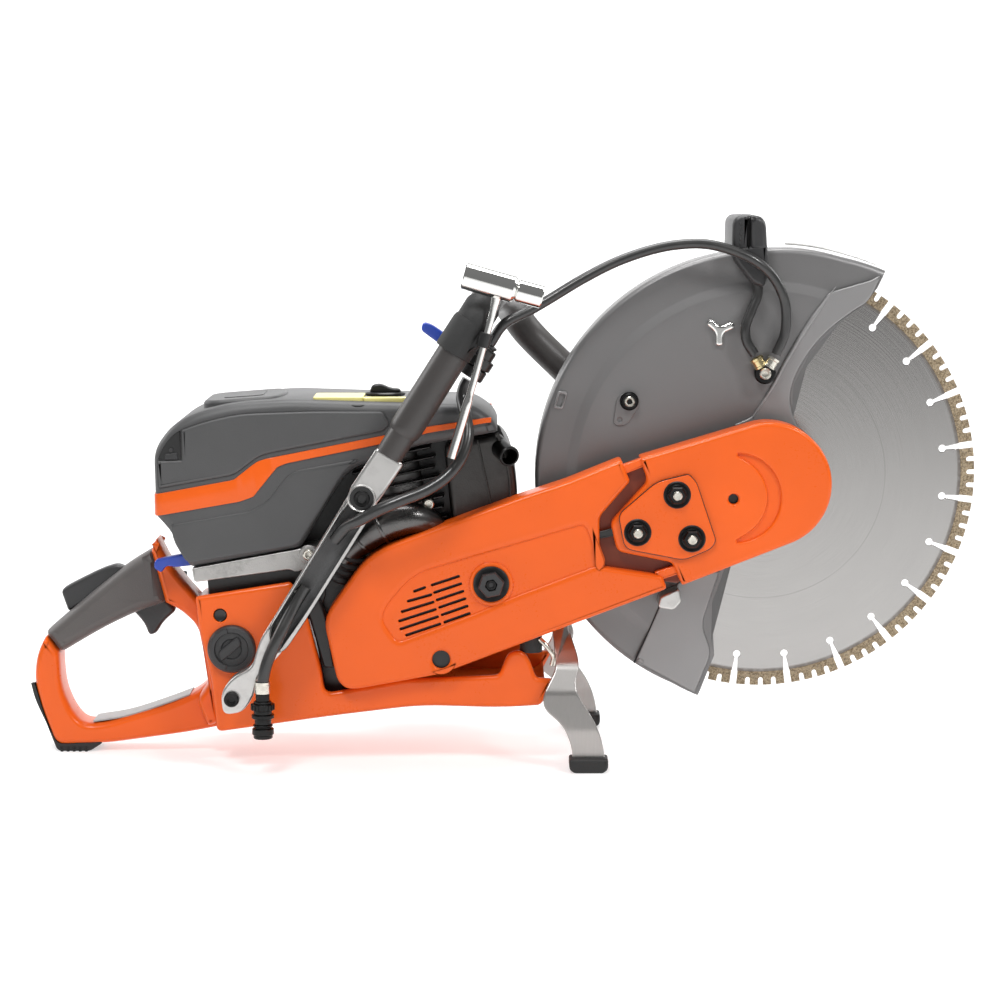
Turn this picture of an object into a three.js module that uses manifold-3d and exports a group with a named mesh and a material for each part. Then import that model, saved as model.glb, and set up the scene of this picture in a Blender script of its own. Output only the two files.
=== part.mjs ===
// A petrol cut-off saw with a 350 mm diamond blade, as an assembly of separate sub-parts.
// Units are millimetres. X points forwards to the blade, Y to the machine's left, Z up.
// Everything is drawn from the blade's axis; the finished group is then stood on Z = 0
// with the middle of its box at X = Y = 0.

import * as THREE from "three";
import { mergeVertices } from "three/addons/utils/BufferGeometryUtils.js";
import Module from "manifold-3d";

const wasm = await Module();
wasm.setup();

// ---------------------------------------------------------------- driving sizes

const FIT = 0.3; // gap between faces that touch or run on each other
const SIDES = 10; // facets round a hose or a handle tube
const ROUND = 20; // facets round a turned piece

const blade = { radius: 175, thickness: 3.2, bore: 12.7, slots: 24, slotDepth: 25, firstSlot: -6.7 };
const flange = { radius: 50, thickness: 6, bore: 5.3 };
const guard = { gap: 7, wall: 2.5, near: 23.5, far: 17.5, hub: 46, handleRise: 27 };
const arm = { gap: 10, thickness: 8, boss: 31.7, bore: 16.3 };
const belt = { width: 12, thickness: 4, gap: 3, driven: 42, drive: 21 };
const cover = { gap: 9.5, wall: 2.5, nose: 50 };
const crank = { x: -275, z: -98, lean: 12, shaft: 9, web: 30 };
const cylinder = { base: 48, height: 90, bore: 25.5, finReach: 34, finHalfWidth: 36, fins: 6 };
const crankcase = { near: -28, far: 60 };
const muffler = { front: -199, clearance: 14.5, halfWidth: 43.5 };
const tube = { radius: 11, sleeve: 13.3, near: -92, far: 105 };
const hose = { supply: 4.7, guard: 4 };
const tank = { halfWidth: 62, wall: 3.5, neck: 14 };
const loop = { halfWidth: 18 };
const grip = { halfWidth: 17, core: 5.5, coreHalfWidth: 10, slot: 8.5 };
const bracket = { near: -96, floor: -86, back: -80 };
const stand = { thickness: 4, pad: 10, axisHeight: 228 };
const starter = { radius: 60, wall: 2.5, depth: 51, pulley: 28, rope: 2 };
const topCover = { halfWidth: 60, wall: 2.8 };

// ---------------------------------------------------------------- layers across the machine (Y)

const guardRadius = blade.radius + guard.gap + guard.wall;
const bladeFace = blade.thickness / 2;
const flangeOut = bladeFace + FIT + flange.thickness;
const wallIn = -guard.near;
const wallOut = wallIn - guard.wall;
const farWallIn = guard.far;
const farWallOut = farWallIn + guard.wall;
const armFace = wallOut - arm.gap;
const armBack = armFace - arm.thickness;
const pulleyIn = armBack - belt.gap;
const pulleyOut = pulleyIn - belt.width - 1;
const beltY = [pulleyOut + 0.5, pulleyIn - 0.5];
const coverIn = pulleyOut - cover.gap;
const coverOut = coverIn - cover.wall;
const floor = -stand.axisHeight;

// The powerhead keeps its distance from the guard when the blade's radius changes.
const setBack = -(guardRadius + muffler.clearance) - muffler.front;
const crankX = crank.x + setBack;

// ---------------------------------------------------------------- shape helpers

const radians = THREE.MathUtils.degToRad;

/** A point given by its distance and direction from the blade's axis. */
const polar = (radius, degrees) => [radius * Math.cos(radians(degrees)),
  radius * Math.sin(radians(degrees))];

/** Points on a circle, both ends included. */
function arc(x, z, radius, from, to, steps) {
  return Array.from({ length: steps + 1 }, (_, i) => {
    const [dx, dz] = polar(radius, from + ((to - from) * i) / steps);
    return [x + dx, z + dz];
  });
}

/** Moves every corner of an outline by the powerhead's set-back. */
const back = (corners) => corners.map(([x, z, round]) => [x + setBack, z, round]);

/** A closed outline in X and Z. A third number rounds its corner over that length of each edge, at most. */
function outline(corners) {
  const shape = new THREE.Shape();
  const count = corners.length;
  corners.forEach(([x, z, round = 0], i) => {
    const corner = new THREE.Vector2(x, z);
    const ends = [corners[(i + count - 1) % count], corners[(i + 1) % count]].map(([a, b]) => {
      const way = new THREE.Vector2(a, b).sub(corner);
      const reach = Math.min(round, way.length() * 0.45);
      return corner.clone().addScaledVector(way.normalize(), reach);
    });
    if (i === 0) shape.moveTo(ends[0].x, ends[0].y);
    else shape.lineTo(ends[0].x, ends[0].y);
    if (round) shape.quadraticCurveTo(x, z, ends[1].x, ends[1].y);
  });
  shape.closePath();
  return shape;
}

/** An outline moved inwards by a wall's thickness, corner by corner. */
function inset(corners, wall) {
  const count = corners.length;
  const area = corners.reduce((sum, [x, z], i) => {
    const [nextX, nextZ] = corners[(i + 1) % count];
    return sum + x * nextZ - nextX * z;
  }, 0);
  const side = Math.sign(area);
  const normals = corners.map(([x, z], i) => {
    const [nextX, nextZ] = corners[(i + 1) % count];
    return new THREE.Vector2(z - nextZ, nextX - x).normalize().multiplyScalar(side);
  });
  return corners.map(([x, z, round], i) => {
    const sum = normals[(i + count - 1) % count].clone().add(normals[i]);
    const miter = sum.multiplyScalar((2 * wall) / sum.lengthSq());
    return [x + miter.x, z + miter.y, round && Math.max(0, round - wall / 2)];
  });
}

/** A solid with the given outline in X and Z, between two Y values. */
function prism(corners, y0, y1, curveSegments = 3) {
  const flat = { depth: y1 - y0, bevelEnabled: false, curveSegments };
  return new THREE.ExtrudeGeometry(outline(corners), flat).rotateX(Math.PI / 2).translate(0, y1, 0);
}

/** A box from its lowest and highest corners. */
function box(x0, x1, y0, y1, z0, z1) {
  const solid = new THREE.BoxGeometry(x1 - x0, y1 - y0, z1 - z0);
  return solid.translate((x0 + x1) / 2, (y0 + y1) / 2, (z0 + z1) / 2);
}

/** A round bar along Y. */
function disc(x, z, radius, y0, y1, sides = ROUND) {
  return new THREE.CylinderGeometry(radius, radius, y1 - y0, sides).translate(x, (y0 + y1) / 2, z);
}

/** A hexagon bar along Y, by its size across flats. */
const hexagon = (x, z, acrossFlats, y0, y1) => disc(x, z, acrossFlats / Math.sqrt(3), y0, y1, 6);

/** A round bar between two points. */
function bar(from, to, radius, sides = SIDES) {
  const [start, end] = [new THREE.Vector3(...from), new THREE.Vector3(...to)];
  const way = end.clone().sub(start);
  const turn = new THREE.Quaternion().setFromUnitVectors(new THREE.Vector3(0, 1, 0),
    way.clone().normalize());
  const middle = start.add(end).multiplyScalar(0.5);
  return new THREE.CylinderGeometry(radius, radius, way.length(), sides)
    .applyQuaternion(turn)
    .translate(middle.x, middle.y, middle.z);
}

/** A piece turned about an axis along Y, from [radius, y] points that go once round its section. */
function turned(x, z, section, sides = ROUND) {
  const area = section.reduce((sum, [r, y], i) => {
    const [nextR, nextY] = section[(i + 1) % section.length];
    return sum + r * nextY - nextR * y;
  }, 0);
  const ordered = area > 0 ? section : [...section].reverse();
  const closed = ordered.some(([r]) => r === 0) ? fromAxis(ordered) : [...ordered, ordered[0]];
  return new THREE.LatheGeometry(closed.map(([r, y]) => new THREE.Vector2(r, y)), sides).translate(x, 0, z);
}

/** The same section, started where it leaves the axis. */
function fromAxis(section) {
  const first = section.findIndex(([r], i) => r === 0 && section[(i + 1) % section.length][0] > 0);
  return [...section.slice(first), ...section.slice(0, first)];
}

/** A ring along Y. */
const ring = (x, z, inner, outer, y0, y1, sides = ROUND) =>
  turned(x, z, [[inner, y0], [outer, y0], [outer, y1], [inner, y1]], sides);

/** Part of a curve, between two shares of its length. */
class Stretch extends THREE.Curve {
  constructor(whole, from, to) {
    super();
    Object.assign(this, { whole, from, to });
  }
  getPoint(share, target = new THREE.Vector3()) {
    return this.whole.getPointAt(this.from + (this.to - this.from) * share, target);
  }
}

const curve = (points) => new THREE.CatmullRomCurve3(points.map((p) => new THREE.Vector3(...p)), false,
  "centripetal");

/** A round bar that follows a curve. */
function sweep(path, radius, steps, sides = SIDES) {
  const section = new THREE.Shape(
    Array.from({ length: sides }, (_, i) => new THREE.Vector2(...polar(radius, (360 * i) / sides))),
  );
  return new THREE.ExtrudeGeometry(section, { steps, bevelEnabled: false, extrudePath: path });
}

/** A three.js geometry as a manifold-3d solid. */
function solid(geometry) {
  const bare = geometry.clone();
  bare.deleteAttribute("normal");
  bare.deleteAttribute("uv");
  const merged = mergeVertices(bare, 1e-4);
  const vertProperties = merged.getAttribute("position").array;
  const triVerts = Uint32Array.from(merged.getIndex().array);
  return new wasm.Manifold(new wasm.Mesh({ numProp: 3, vertProperties, triVerts }));
}

/** A manifold-3d solid as a three.js geometry. */
function geometryOf(manifold) {
  const { vertProperties, triVerts } = manifold.getMesh();
  const geometry = new THREE.BufferGeometry();
  geometry.setAttribute("position", new THREE.BufferAttribute(Float32Array.from(vertProperties), 3));
  return geometry.setIndex(new THREE.BufferAttribute(Uint32Array.from(triVerts), 1));
}

const join = (...pieces) => geometryOf(pieces.map(solid).reduce((a, b) => a.add(b)));
const cut = (body, ...tools) => geometryOf(tools.map(solid).reduce((a, b) => a.subtract(b), solid(body)));
const common = (a, b) => geometryOf(solid(a).intersect(solid(b)));

// ---------------------------------------------------------------- materials and the assembly

const material = (color, roughness, metalness = 0) => new THREE.MeshStandardMaterial({ color, roughness,
  metalness });

const finish = {
  orange: material(0xeb6e32, 0.35),
  darkPlastic: material(0x505050, 0.5),
  rubber: material(0x2a2a2a, 0.8),
  gripRubber: material(0x5c5654, 0.6),
  blue: material(0x2350be, 0.4),
  castAluminium: material(0xa8a6a2, 0.45, 0.9),
  darkCasting: material(0x4c4a48, 0.55, 0.6),
  steel: material(0x9a9896, 0.3, 1),
  chrome: material(0xd8d8d4, 0.12, 1),
  blackSteel: material(0x1c1c1c, 0.4, 0.6),
  guardPaint: material(0x6e6c6c, 0.45, 0.5),
  hoseRubber: material(0x1a1a1a, 0.25),
  zinc: material(0xc8bf9a, 0.3, 1),
  filterFoam: material(0xd8d2c0, 0.9),
};

const saw = new THREE.Group();
const cords = new Set(["hose_inlet", "hose_connector", "hose_guard"]);

function add(name, geometry, look) {
  const mesh = new THREE.Mesh(geometry, look);
  mesh.name = name;
  saw.add(mesh);
}

// ---------------------------------------------------------------- blade, flanges and spindle

/** The blade: a disc whose rim is cut by keyhole slots. */
function bladeDisc() {
  const keyhole = 3;
  const corners = [];
  for (let slot = 0; slot < blade.slots; slot += 1) {
    const middle = blade.firstSlot + (360 / blade.slots) * slot;
    const mouth = 0.9;
    corners.push(polar(blade.radius, middle - mouth));
    const [x, z] = polar(blade.radius - blade.slotDepth, middle);
    corners.push(...arc(x, z, keyhole, middle - 25, middle - 335, 5));
    corners.push(polar(blade.radius, middle + mouth));
    corners.push(polar(blade.radius, middle + 180 / blade.slots));
  }
  const plate = prism(corners, -bladeFace, bladeFace);
  return cut(plate, disc(0, 0, blade.bore, -bladeFace - 1, bladeFace + 1));
}

const noseRadius = blade.bore - FIT;
const shoulder = -flangeOut;

add("blade", bladeDisc(), finish.steel);
add("flange_inner", ring(0, 0, blade.bore, flange.radius, shoulder, -bladeFace - FIT), finish.steel);
add("flange_outer", ring(0, 0, flange.bore, flange.radius, bladeFace + FIT, flangeOut), finish.steel);

const boltHead = flangeOut + FIT;
add(
  "blade_bolt",
  join(hexagon(0, 0, 17, boltHead, boltHead + 7), disc(0, 0, flange.bore - FIT, -14, boltHead + 1)),
  finish.blackSteel,
);

const pulleyBore = 10;
const spindleEnd = pulleyOut - 2;
add(
  "spindle",
  turned(0, 0, [
    [0, spindleEnd], [pulleyBore, spindleEnd], [pulleyBore, pulleyIn + FIT],
    [arm.bore - FIT, pulleyIn + FIT],
    [arm.bore - FIT, shoulder - FIT], [noseRadius, shoulder - FIT], [noseRadius, bladeFace],
    [flange.bore, bladeFace], [flange.bore, -16], [0, -16],
  ]),
  finish.steel,
);

/** A belt pulley with a rim, a thin web and a hub. */
function pulley(x, z, radius, bore, hub) {
  const middle = (pulleyIn + pulleyOut) / 2;
  const web = 2.5;
  const rim = 4;
  return turned(x, z, [
    [bore + FIT, pulleyOut], [hub, pulleyOut], [hub, middle - web], [radius - rim, middle - web],
    [radius - rim, pulleyOut], [radius, pulleyOut], [radius, pulleyIn], [radius - rim, pulleyIn],
    [radius - rim, middle + web], [hub, middle + web], [hub, pulleyIn], [bore + FIT, pulleyIn],
  ]);
}

add("driven_pulley", pulley(0, 0, belt.driven, pulleyBore, pulleyBore + 8), finish.steel);

// ---------------------------------------------------------------- blade guard

const flare = { tip: 9, middle: 4, start: 2.5, foot: 3.5 };

/** The guard's outer edge, drawn in from the guard's surface by a wall, from the front to the foot. */
function guardEdge(wall, first, last) {
  const radius = guardRadius - wall;
  return [
    polar(radius + flare.tip, first), polar(radius + flare.middle, 70.7), polar(radius + flare.start, 81),
    ...arc(0, 0, radius, 91, 247, 34), polar(radius + flare.foot, last),
  ];
}

function guardShell() {
  const side = [
    ...guardEdge(0, 60.3, 254), polar(guardRadius - 38, 255.4), polar(guardRadius - 57, 248.9),
    polar(81, 247.5), ...arc(0, 0, guard.hub, 245, 418, 12), polar(57, 65), polar(70, 72.6),
    polar(86.7, 73.2), polar(guardRadius - 73, 70.1), polar(guardRadius - 52.5, 66.4),
    polar(guardRadius - 33, 62.1), polar(guardRadius - 21, 59.5),
  ];
  const hollow = [...guardEdge(guard.wall, 56, 258), ...arc(0, 0, guardRadius - guard.wall, 270, 410, 10)];
  return cut(
    prism(side, wallOut, farWallOut),
    prism(hollow, wallIn, farWallIn),
    disc(0, 0, arm.boss + FIT, wallOut - 1, wallIn + 1, 36),
    disc(0, 0, flange.radius + 12, farWallIn - 1, farWallOut + 1, 36),
  );
}

add("blade_guard", guardShell(), finish.guardPaint);

// The cross hose runs over the guard's rim, inside its handle.
const nozzle = { x: -1, z: 86, y: wallOut - 11, radius: 8.5, barb: 5, reach: 14 };
const handleTop = guardRadius + guard.handleRise;
const bridgeY = { near: wallOut - 7, far: farWallOut + 7 };
const bridgePath = curve([
  [-9.6, nozzle.y, 101.4], [-16, nozzle.y, 112], [-17, nozzle.y, guardRadius - 61.5],
  [-12, nozzle.y + 2, guardRadius - 47.5], [-7, bridgeY.near, guardRadius - 34.5],
  [-9, bridgeY.near, guardRadius - 14.5], [-13, bridgeY.near + 2, guardRadius + 1],
  [-15, bridgeY.near + 10, guardRadius + 9], [-15, -4, guardRadius + 11],
  [-15, bridgeY.far - 10, guardRadius + 9],
  [-13, bridgeY.far - 1, guardRadius + 1], [-9, bridgeY.far, guardRadius - 16.5],
  [-4, bridgeY.far, guardRadius - 44.5],
  [-1, bridgeY.far, 112], [-1, bridgeY.far, 98.6],
]);

function guardHandle() {
  const bottom = guardRadius + 0.8;
  const block = prism(
    [[-29, bottom], [-28, handleTop - 3, 5], [-24, handleTop, 2], [-7, handleTop, 2],
      [-2, handleTop - 4, 5], [-1, bottom]],
    wallOut - 15, farWallOut + 13,
  );
  const fairing = [
    [-29, bottom + 1], [-29, guardRadius - 6.5, 3], [-13, guardRadius - 25.5, 3],
    [-3, guardRadius - 29.5, 3], [0, guardRadius - 16.5, 3], [-1, bottom + 1],
  ];
  return cut(
    join(
      block,
      prism(fairing, wallOut - 15, wallOut - FIT),
      prism(fairing, farWallOut + FIT, farWallOut + 13),
    ),
    sweep(bridgePath, hose.guard + 0.7, 22, 8),
  );
}

add("guard_handle", guardHandle(), finish.darkPlastic);

/** The two-way water nozzle on the guard's near wall, with a barb for each hose. */
function waterNozzle() {
  const centre = [nozzle.x, nozzle.y, nozzle.z];
  const barbs = [-1, 1].map((side) =>
    bar(centre, [nozzle.x + side * 8.2, nozzle.y, nozzle.z + nozzle.reach], nozzle.barb),
  );
  return join(disc(nozzle.x, nozzle.z, nozzle.radius, nozzle.y - 6, wallOut - FIT), ...barbs);
}

/** The hose over the rim, which ends in a moulded jet on the guard's far wall. */
function bridgeHose() {
  const start = farWallOut + FIT;
  return join(
    sweep(bridgePath, hose.guard, 22, 8),
    disc(nozzle.x, nozzle.z, nozzle.radius, start, start + 13),
    bar([nozzle.x, bridgeY.far, nozzle.z], [nozzle.x, bridgeY.far, 101], nozzle.barb),
  );
}

add("nozzle", waterNozzle(), finish.zinc);
add("hose_bridge", bridgeHose(), finish.hoseRubber);

// ---------------------------------------------------------------- cutting arm and belt

function cuttingArm() {
  const plate = [
    [-236 + setBack, -104, 8], [-236 + setBack, -42, 8], [-120, 2, 12], [-20, 34], [36, 12, 16],
    [28, -26, 14],
    [-60, -62, 12],
  ];
  const pad = back([[-236, -104, 8], [-236, -42, 8], [-194, -26, 4], [-194, -82, 4]]);
  const body = join(
    prism(plate, armBack, armFace),
    prism(pad, armFace - 1, crankcase.near - FIT),
    disc(0, 0, arm.boss, armBack, shoulder - 12, 36),
  );
  const studs = armStuds.map(([x, z]) => disc(x, z, 4.2, armBack - 1, armFace - 3, 10));
  return cut(body, disc(0, 0, arm.bore, armBack - 1, 0, 36), ...studs);
}

const armStuds = [[-73, -7], [-104, -37], [-61, -42]];
const tensioner = { x: -220 + setBack, z: -79, disc: 14.6, hex: 18.5, shaft: 6 };

add("cutting_arm", cuttingArm(), finish.castAluminium);

/** The belt's side view: the hull of two circles, by its outer tangents. */
function beltLoop(extra) {
  const spacing = Math.hypot(crankX, crank.z);
  const way = THREE.MathUtils.radToDeg(Math.atan2(crank.z, crankX));
  const [small, large] = [belt.drive + extra, belt.driven + extra];
  const tilt = THREE.MathUtils.radToDeg(Math.acos((large - small) / spacing));
  return [
    ...arc(0, 0, large, way + tilt, way + 360 - tilt, 20),
    ...arc(crankX, crank.z, small, way - tilt, way + tilt, 12),
  ];
}

add(
  "drive_belt",
  cut(prism(beltLoop(FIT + belt.thickness), ...beltY), prism(beltLoop(FIT), beltY[0] - 1, beltY[1] + 1)),
  finish.rubber,
);

// ---------------------------------------------------------------- belt guards

const skirt = armBack - FIT; // where the belt guards' edges meet the arm

/** The way through both belt guards' end walls that the belt runs in. */
function beltWay() {
  const room = prism(beltLoop(FIT + belt.thickness + 3), pulleyOut - 2, skirt + 1);
  return common(room, box(-142, -66, pulleyOut - 3, skirt + 2, -200, 100));
}

/** An open-backed cover: a face with a wall all round it. */
function shell(corners) {
  return [prism(corners, coverOut, skirt), prism(inset(corners, cover.wall), coverIn, skirt + 1)];
}

function beltGuardRear() {
  const corners = [
    ...back([[-354, -107, 8], [-316, -53, 14], [-196, -9, 6]]), [-160, 3, 4], [-116, 21], [-110, 3],
      [-134, -25, 4],
    [-134, -65, 4], [-83, -72], [-80, -83], ...back([[-213, -134, 6], [-260, -152, 6], [-335, -165, 10]]),
  ];
  const [body, hollow] = shell(corners);
  const vents = [];
  for (let row = 0; row < 6; row += 1) {
    const [x, z] = [-247 + setBack + row * 2.6, -78 - row * 7.4];
    const start = row < 2 ? -30 : -36;
    vents.push(prism(slot(x, z, 2, 22), coverOut - 1, coverIn + 1),
      prism(slot(x, z, start, -2), coverOut - 1, coverIn + 1));
  }
  return cut(
    body, hollow, ...vents, disc(tensioner.x, tensioner.z, tensioner.shaft + FIT, coverOut - 1,
      coverIn + 1),
    disc(-260 + setBack, -140, 7, coverOut - 1, coverIn + 1, 16), beltWay(),
  );
}

/** A slanted ventilation slot, from one share of its row to another. */
function slot(x, z, from, to) {
  const [rise, height] = [0.22, 2.4];
  return [
    [x + from, z + from * rise], [x + to, z + to * rise],
    [x + to, z + to * rise + height], [x + from, z + from * rise + height],
  ];
}

function beltGuardFront() {
  const corners = [
    [-102, 21], ...arc(0, 0, cover.nose, 106, -66.7, 18), [-67, -80], [-76, -62], [-119, -52, 4],
    [-125, -31, 4],
    [-96, 3, 4],
  ];
  const [body, hollow] = shell(corners);
  const holes = armStuds.map(([x, z]) => disc(x, z, 4.2, coverOut - 1, coverIn + 1, 10));
  return cut(body, hollow, ...holes, disc(-28, -11, 4, coverOut - 1, coverIn + 1, 12), beltWay());
}

const plateOut = coverOut - FIT - 3;
const clampCorners = [[-119, -23, 4], [-89, 3, 6], [-64, 9], [-58, 3], [-42, -44, 3], [-46, -50, 3],
  [-67, -59, 5], [-114, -50, 6]];

add("belt_guard_rear", beltGuardRear(), finish.orange);
add("belt_guard_front", beltGuardFront(), finish.orange);
add(
  "clamp_plate",
  cut(
    prism(clampCorners, plateOut, coverOut - FIT),
    ...armStuds.map(([x, z]) => disc(x, z, 4.2, plateOut - 1, coverOut, 10)),
  ),
  finish.orange,
);
armStuds.forEach(([x, z], i) => {
  const seat = plateOut - FIT;
  add(
    `arm_nut_${i + 1}`,
    join(
      disc(x, z, 10.7, seat - 1.5, seat, 16),
      hexagon(x, z, 13, seat - 7, seat - 1),
      disc(x, z, 3.9, seat - 9, armBack + 3, 10),
    ),
    finish.blackSteel,
  );
});
add(
  "belt_tensioner",
  join(
    disc(tensioner.x, tensioner.z, tensioner.disc, coverOut - 5, coverOut - FIT),
    hexagon(tensioner.x, tensioner.z, tensioner.hex, coverOut - 11, coverOut - 4),
    disc(tensioner.x, tensioner.z, tensioner.shaft, coverOut - 1, armBack - FIT, 16),
  ),
  finish.blackSteel,
);

// ---------------------------------------------------------------- engine

// Along and across the cylinder: u is forwards, v is up from the crankshaft.
const lean = radians(crank.lean);
const onEngine = (u, v) => [
  crankX + u * Math.cos(lean) - v * Math.sin(lean),
  crank.z + u * Math.sin(lean) + v * Math.cos(lean),
];
const engineBlock = (u0, u1, v0, v1, y0, y1) =>
  prism([onEngine(u0, v0), onEngine(u1, v0), onEngine(u1, v1), onEngine(u0, v1)], y0, y1);

function engineBar(v0, v1, radius, sides = ROUND) {
  const [x0, z0] = onEngine(0, v0);
  const [x1, z1] = onEngine(0, v1);
  return bar([x0, 0, z0], [x1, 0, z1], radius, sides);
}

function crankcaseBody() {
  const top = cylinder.base - FIT;
  const corners = [
    onEngine(-40, top), onEngine(38, top),
    ...back([[-204, -57, 4], [-170, -78, 6], [-167, -104], [-176, -104], [-225, -136, 10],
      [-262, -148, 12], [-300, -148, 14],
      [-332, -128, 12], [-346, -95, 6]]),
  ];
  const body = prism(corners, crankcase.near, crankcase.far);
  const pocket = cut(
    prism(inset(corners, 7), 26, crankcase.far + 1),
      disc(crankX, crank.z, crank.shaft + 9, 0, crankcase.far + 2),
  );
  return cut(
    body, pocket, disc(crankX, crank.z, crank.web + 3, -17, 17),
      engineBar(0, cylinder.base + 1, cylinder.bore + 1.5),
    disc(crankX, crank.z, crank.shaft + FIT, crankcase.near - 1, crankcase.far + 1),
  );
}

function finnedCylinder() {
  const top = cylinder.base + cylinder.height;
  const pieces = [engineBar(cylinder.base, top, cylinder.bore + 5)];
  pieces.push(engineBlock(-34, 34, cylinder.base, cylinder.base + 6, -33, 33));
  for (let fin = 0; fin < cylinder.fins; fin += 1) {
    const v = cylinder.base + 26 + fin * 9;
    const { finReach: reach, finHalfWidth: half } = cylinder;
    pieces.push(engineBlock(-reach, reach, v, v + 2.4, -half, half));
  }
  return cut(
    join(...pieces), engineBar(cylinder.base - 1, top - 8, cylinder.bore),
      engineBar(top - 9, top + 1, 5, 12),
    bar([...withY(onEngine(-50, 84), 0)], [...withY(onEngine(0, 84), 0)], 10),
    bar([...withY(onEngine(0, 92), 0)], [...withY(onEngine(50, 92), 0)], 10),
  );
}

/** A point in space from [x, z] and a Y value. */
const withY = ([x, z], y) => [x, y, z];

add("crankcase", crankcaseBody(), finish.darkCasting);
add("cylinder", finnedCylinder(), finish.darkCasting);

const plugSeat = cylinder.base + cylinder.height;
add(
  "spark_plug",
  join(engineBar(plugSeat - 7, plugSeat + 2, 4.6, 12), engineBar(plugSeat + FIT, plugSeat + 6, 8, 6),
    engineBar(plugSeat + 5, plugSeat + 16, 5, 12)),
  finish.chrome,
);
add(
  "piston",
  cut(engineBar(cylinder.base + 34, cylinder.base + 70, cylinder.bore - FIT),
    engineBar(cylinder.base + 33, cylinder.base + 64, 21)),
  finish.castAluminium,
);

const valveV = cylinder.base + cylinder.height - 14;
const valveAt = onEngine(-6, valveV);
add(
  "decompression_button",
  join(
    disc(...valveAt, 3, cylinder.finHalfWidth + 5, topCover.halfWidth + 6, 10),
    disc(...valveAt, 6, topCover.halfWidth + 5, topCover.halfWidth + 9, 12),
  ),
  finish.blue,
);

const drum = { radius: 36, near: -43, far: -30 };
const flywheel = { radius: 52, near: crankcase.far + 5, thickness: 12 };

add(
  "crankshaft",
  turned(crankX, crank.z, [
    [0, pulleyOut - 3], [crank.shaft, pulleyOut - 3], [crank.shaft, -14], [crank.web, -14], [crank.web, 14],
    [crank.shaft, 14], [crank.shaft, flywheel.near + flywheel.thickness + 4],
    [0, flywheel.near + flywheel.thickness + 4],
  ]),
  finish.steel,
);
add(
  "clutch_drum",
  turned(crankX, crank.z, [
    [crank.shaft + FIT, pulleyOut], [belt.drive, pulleyOut], [belt.drive, pulleyIn], [15, pulleyIn],
    [15, drum.near], [drum.radius, drum.near], [drum.radius, drum.far], [drum.radius - 3, drum.far],
    [drum.radius - 3, drum.near + 3], [crank.shaft + FIT, drum.near + 3],
  ]),
  finish.steel,
);

function flywheelFan() {
  const disk = ring(crankX, crank.z, crank.shaft + FIT, flywheel.radius, flywheel.near, flywheel.near + 5);
  const hub = ring(crankX, crank.z, crank.shaft + FIT, 20, flywheel.near,
    flywheel.near + flywheel.thickness);
  const vanes = Array.from({ length: 12 }, (_, i) =>
    box(24, flywheel.radius - 2, 4, flywheel.thickness, -1, 1).rotateY(radians(30 * i)).translate(crankX,
      flywheel.near, crank.z),
  );
  return join(disk, hub, ...vanes);
}

add("flywheel", flywheelFan(), finish.castAluminium);

// ---------------------------------------------------------------- muffler and air duct

function mufflerBox() {
  const corners = back([
    [-256, 30, 3], [-251, -33, 3], [-205, -30, 3], [-199, -12, 4], [-202, 12, 4], [-208, 30, 4],
    [-215, 36, 3],
  ]);
  const { halfWidth } = muffler;
  const [from, to] = [[-218 + setBack, -36, 28], [-204 + setBack, -60, 21]];
  return cut(
    join(prism(corners, -halfWidth, halfWidth), bar(from, to, 8)),
    prism(inset(corners, 2.5), 2.5 - halfWidth, halfWidth - 2.5),
    bar(from, [to[0] + 0.6, to[1] - 1, to[2] - 0.3], 6.3),
  );
}

add("muffler", mufflerBox(), finish.darkCasting);

const duct = { radius: 8.5, steps: 9 };
const ductPath = [[-345, -48, -66], [-333, -52, -46], [-315, -54, -33], [-292, -54, -29], [-270, -54, -24]];
add(
  "air_duct",
  sweep(
    curve(ductPath.map(([x, y, z]) => [x + setBack, y, z])),
    duct.radius, duct.steps,
  ),
  finish.hoseRubber,
);

// ---------------------------------------------------------------- engine cover and air filter

function engineCover() {
  const lower = [[-461, -68, 4], [-372, -52, 4], [-349, -12, 10], [-333, 11, 10], [-278, 30, 8],
    [-214, 41, 3]];
  const upper = [
    [-228, 62, 10], [-320, 66], [-381, 68, 10], [-441, 62, 12], [-470, 53, 10], [-488, 28, 14],
    [-487, -26, 3],
    [-483, -34, 3], [-472, -52, 6],
  ];
  const corners = back([...lower, ...upper]);
  const inner = inset(corners, topCover.wall);
  const hollow = inner.map(([x, z, round], i) => (i < lower.length ? [x + 2, z - 12, round] : [x, z,
    round]));
  const half = topCover.halfWidth;
  return cut(
    prism(corners, -half, half),
    prism(hollow, topCover.wall - half, half - topCover.wall),
    disc(...valveAt, 3 + FIT, half - 5, half + 1, 12),
    bar([knob.x, knob.y, 50], [knob.x, knob.y, 80], 4 + FIT),
  );
}

const knob = { x: -306 + setBack, y: -10, radius: 16, base: 66.6 };

add("engine_cover", engineCover(), finish.darkPlastic);
add(
  "cover_knob",
  join(
    bar([knob.x, knob.y, knob.base], [knob.x, knob.y, knob.base + 3], knob.radius, ROUND),
    box(knob.x - 13, knob.x + 13, knob.y - 3, knob.y + 3, knob.base + 2, knob.base + 8),
    bar([knob.x, knob.y, knob.base - 12], [knob.x, knob.y, knob.base + 1], 4),
  ),
  finish.rubber,
);

function filterBase() {
  const corners = back([
    [-459.5, -68.6], [-458, -80, 2], [-381, -70], [-366, -66, 6], [-357, -56, 4], [-361, -49.5, 3],
    [-372, -52.8],
  ]);
  return cut(
    prism(corners, -topCover.halfWidth + 3, topCover.halfWidth - 3),
    bar([-407 + setBack, 0, -90], [-407 + setBack, 0, -40], 14),
  );
}

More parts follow.
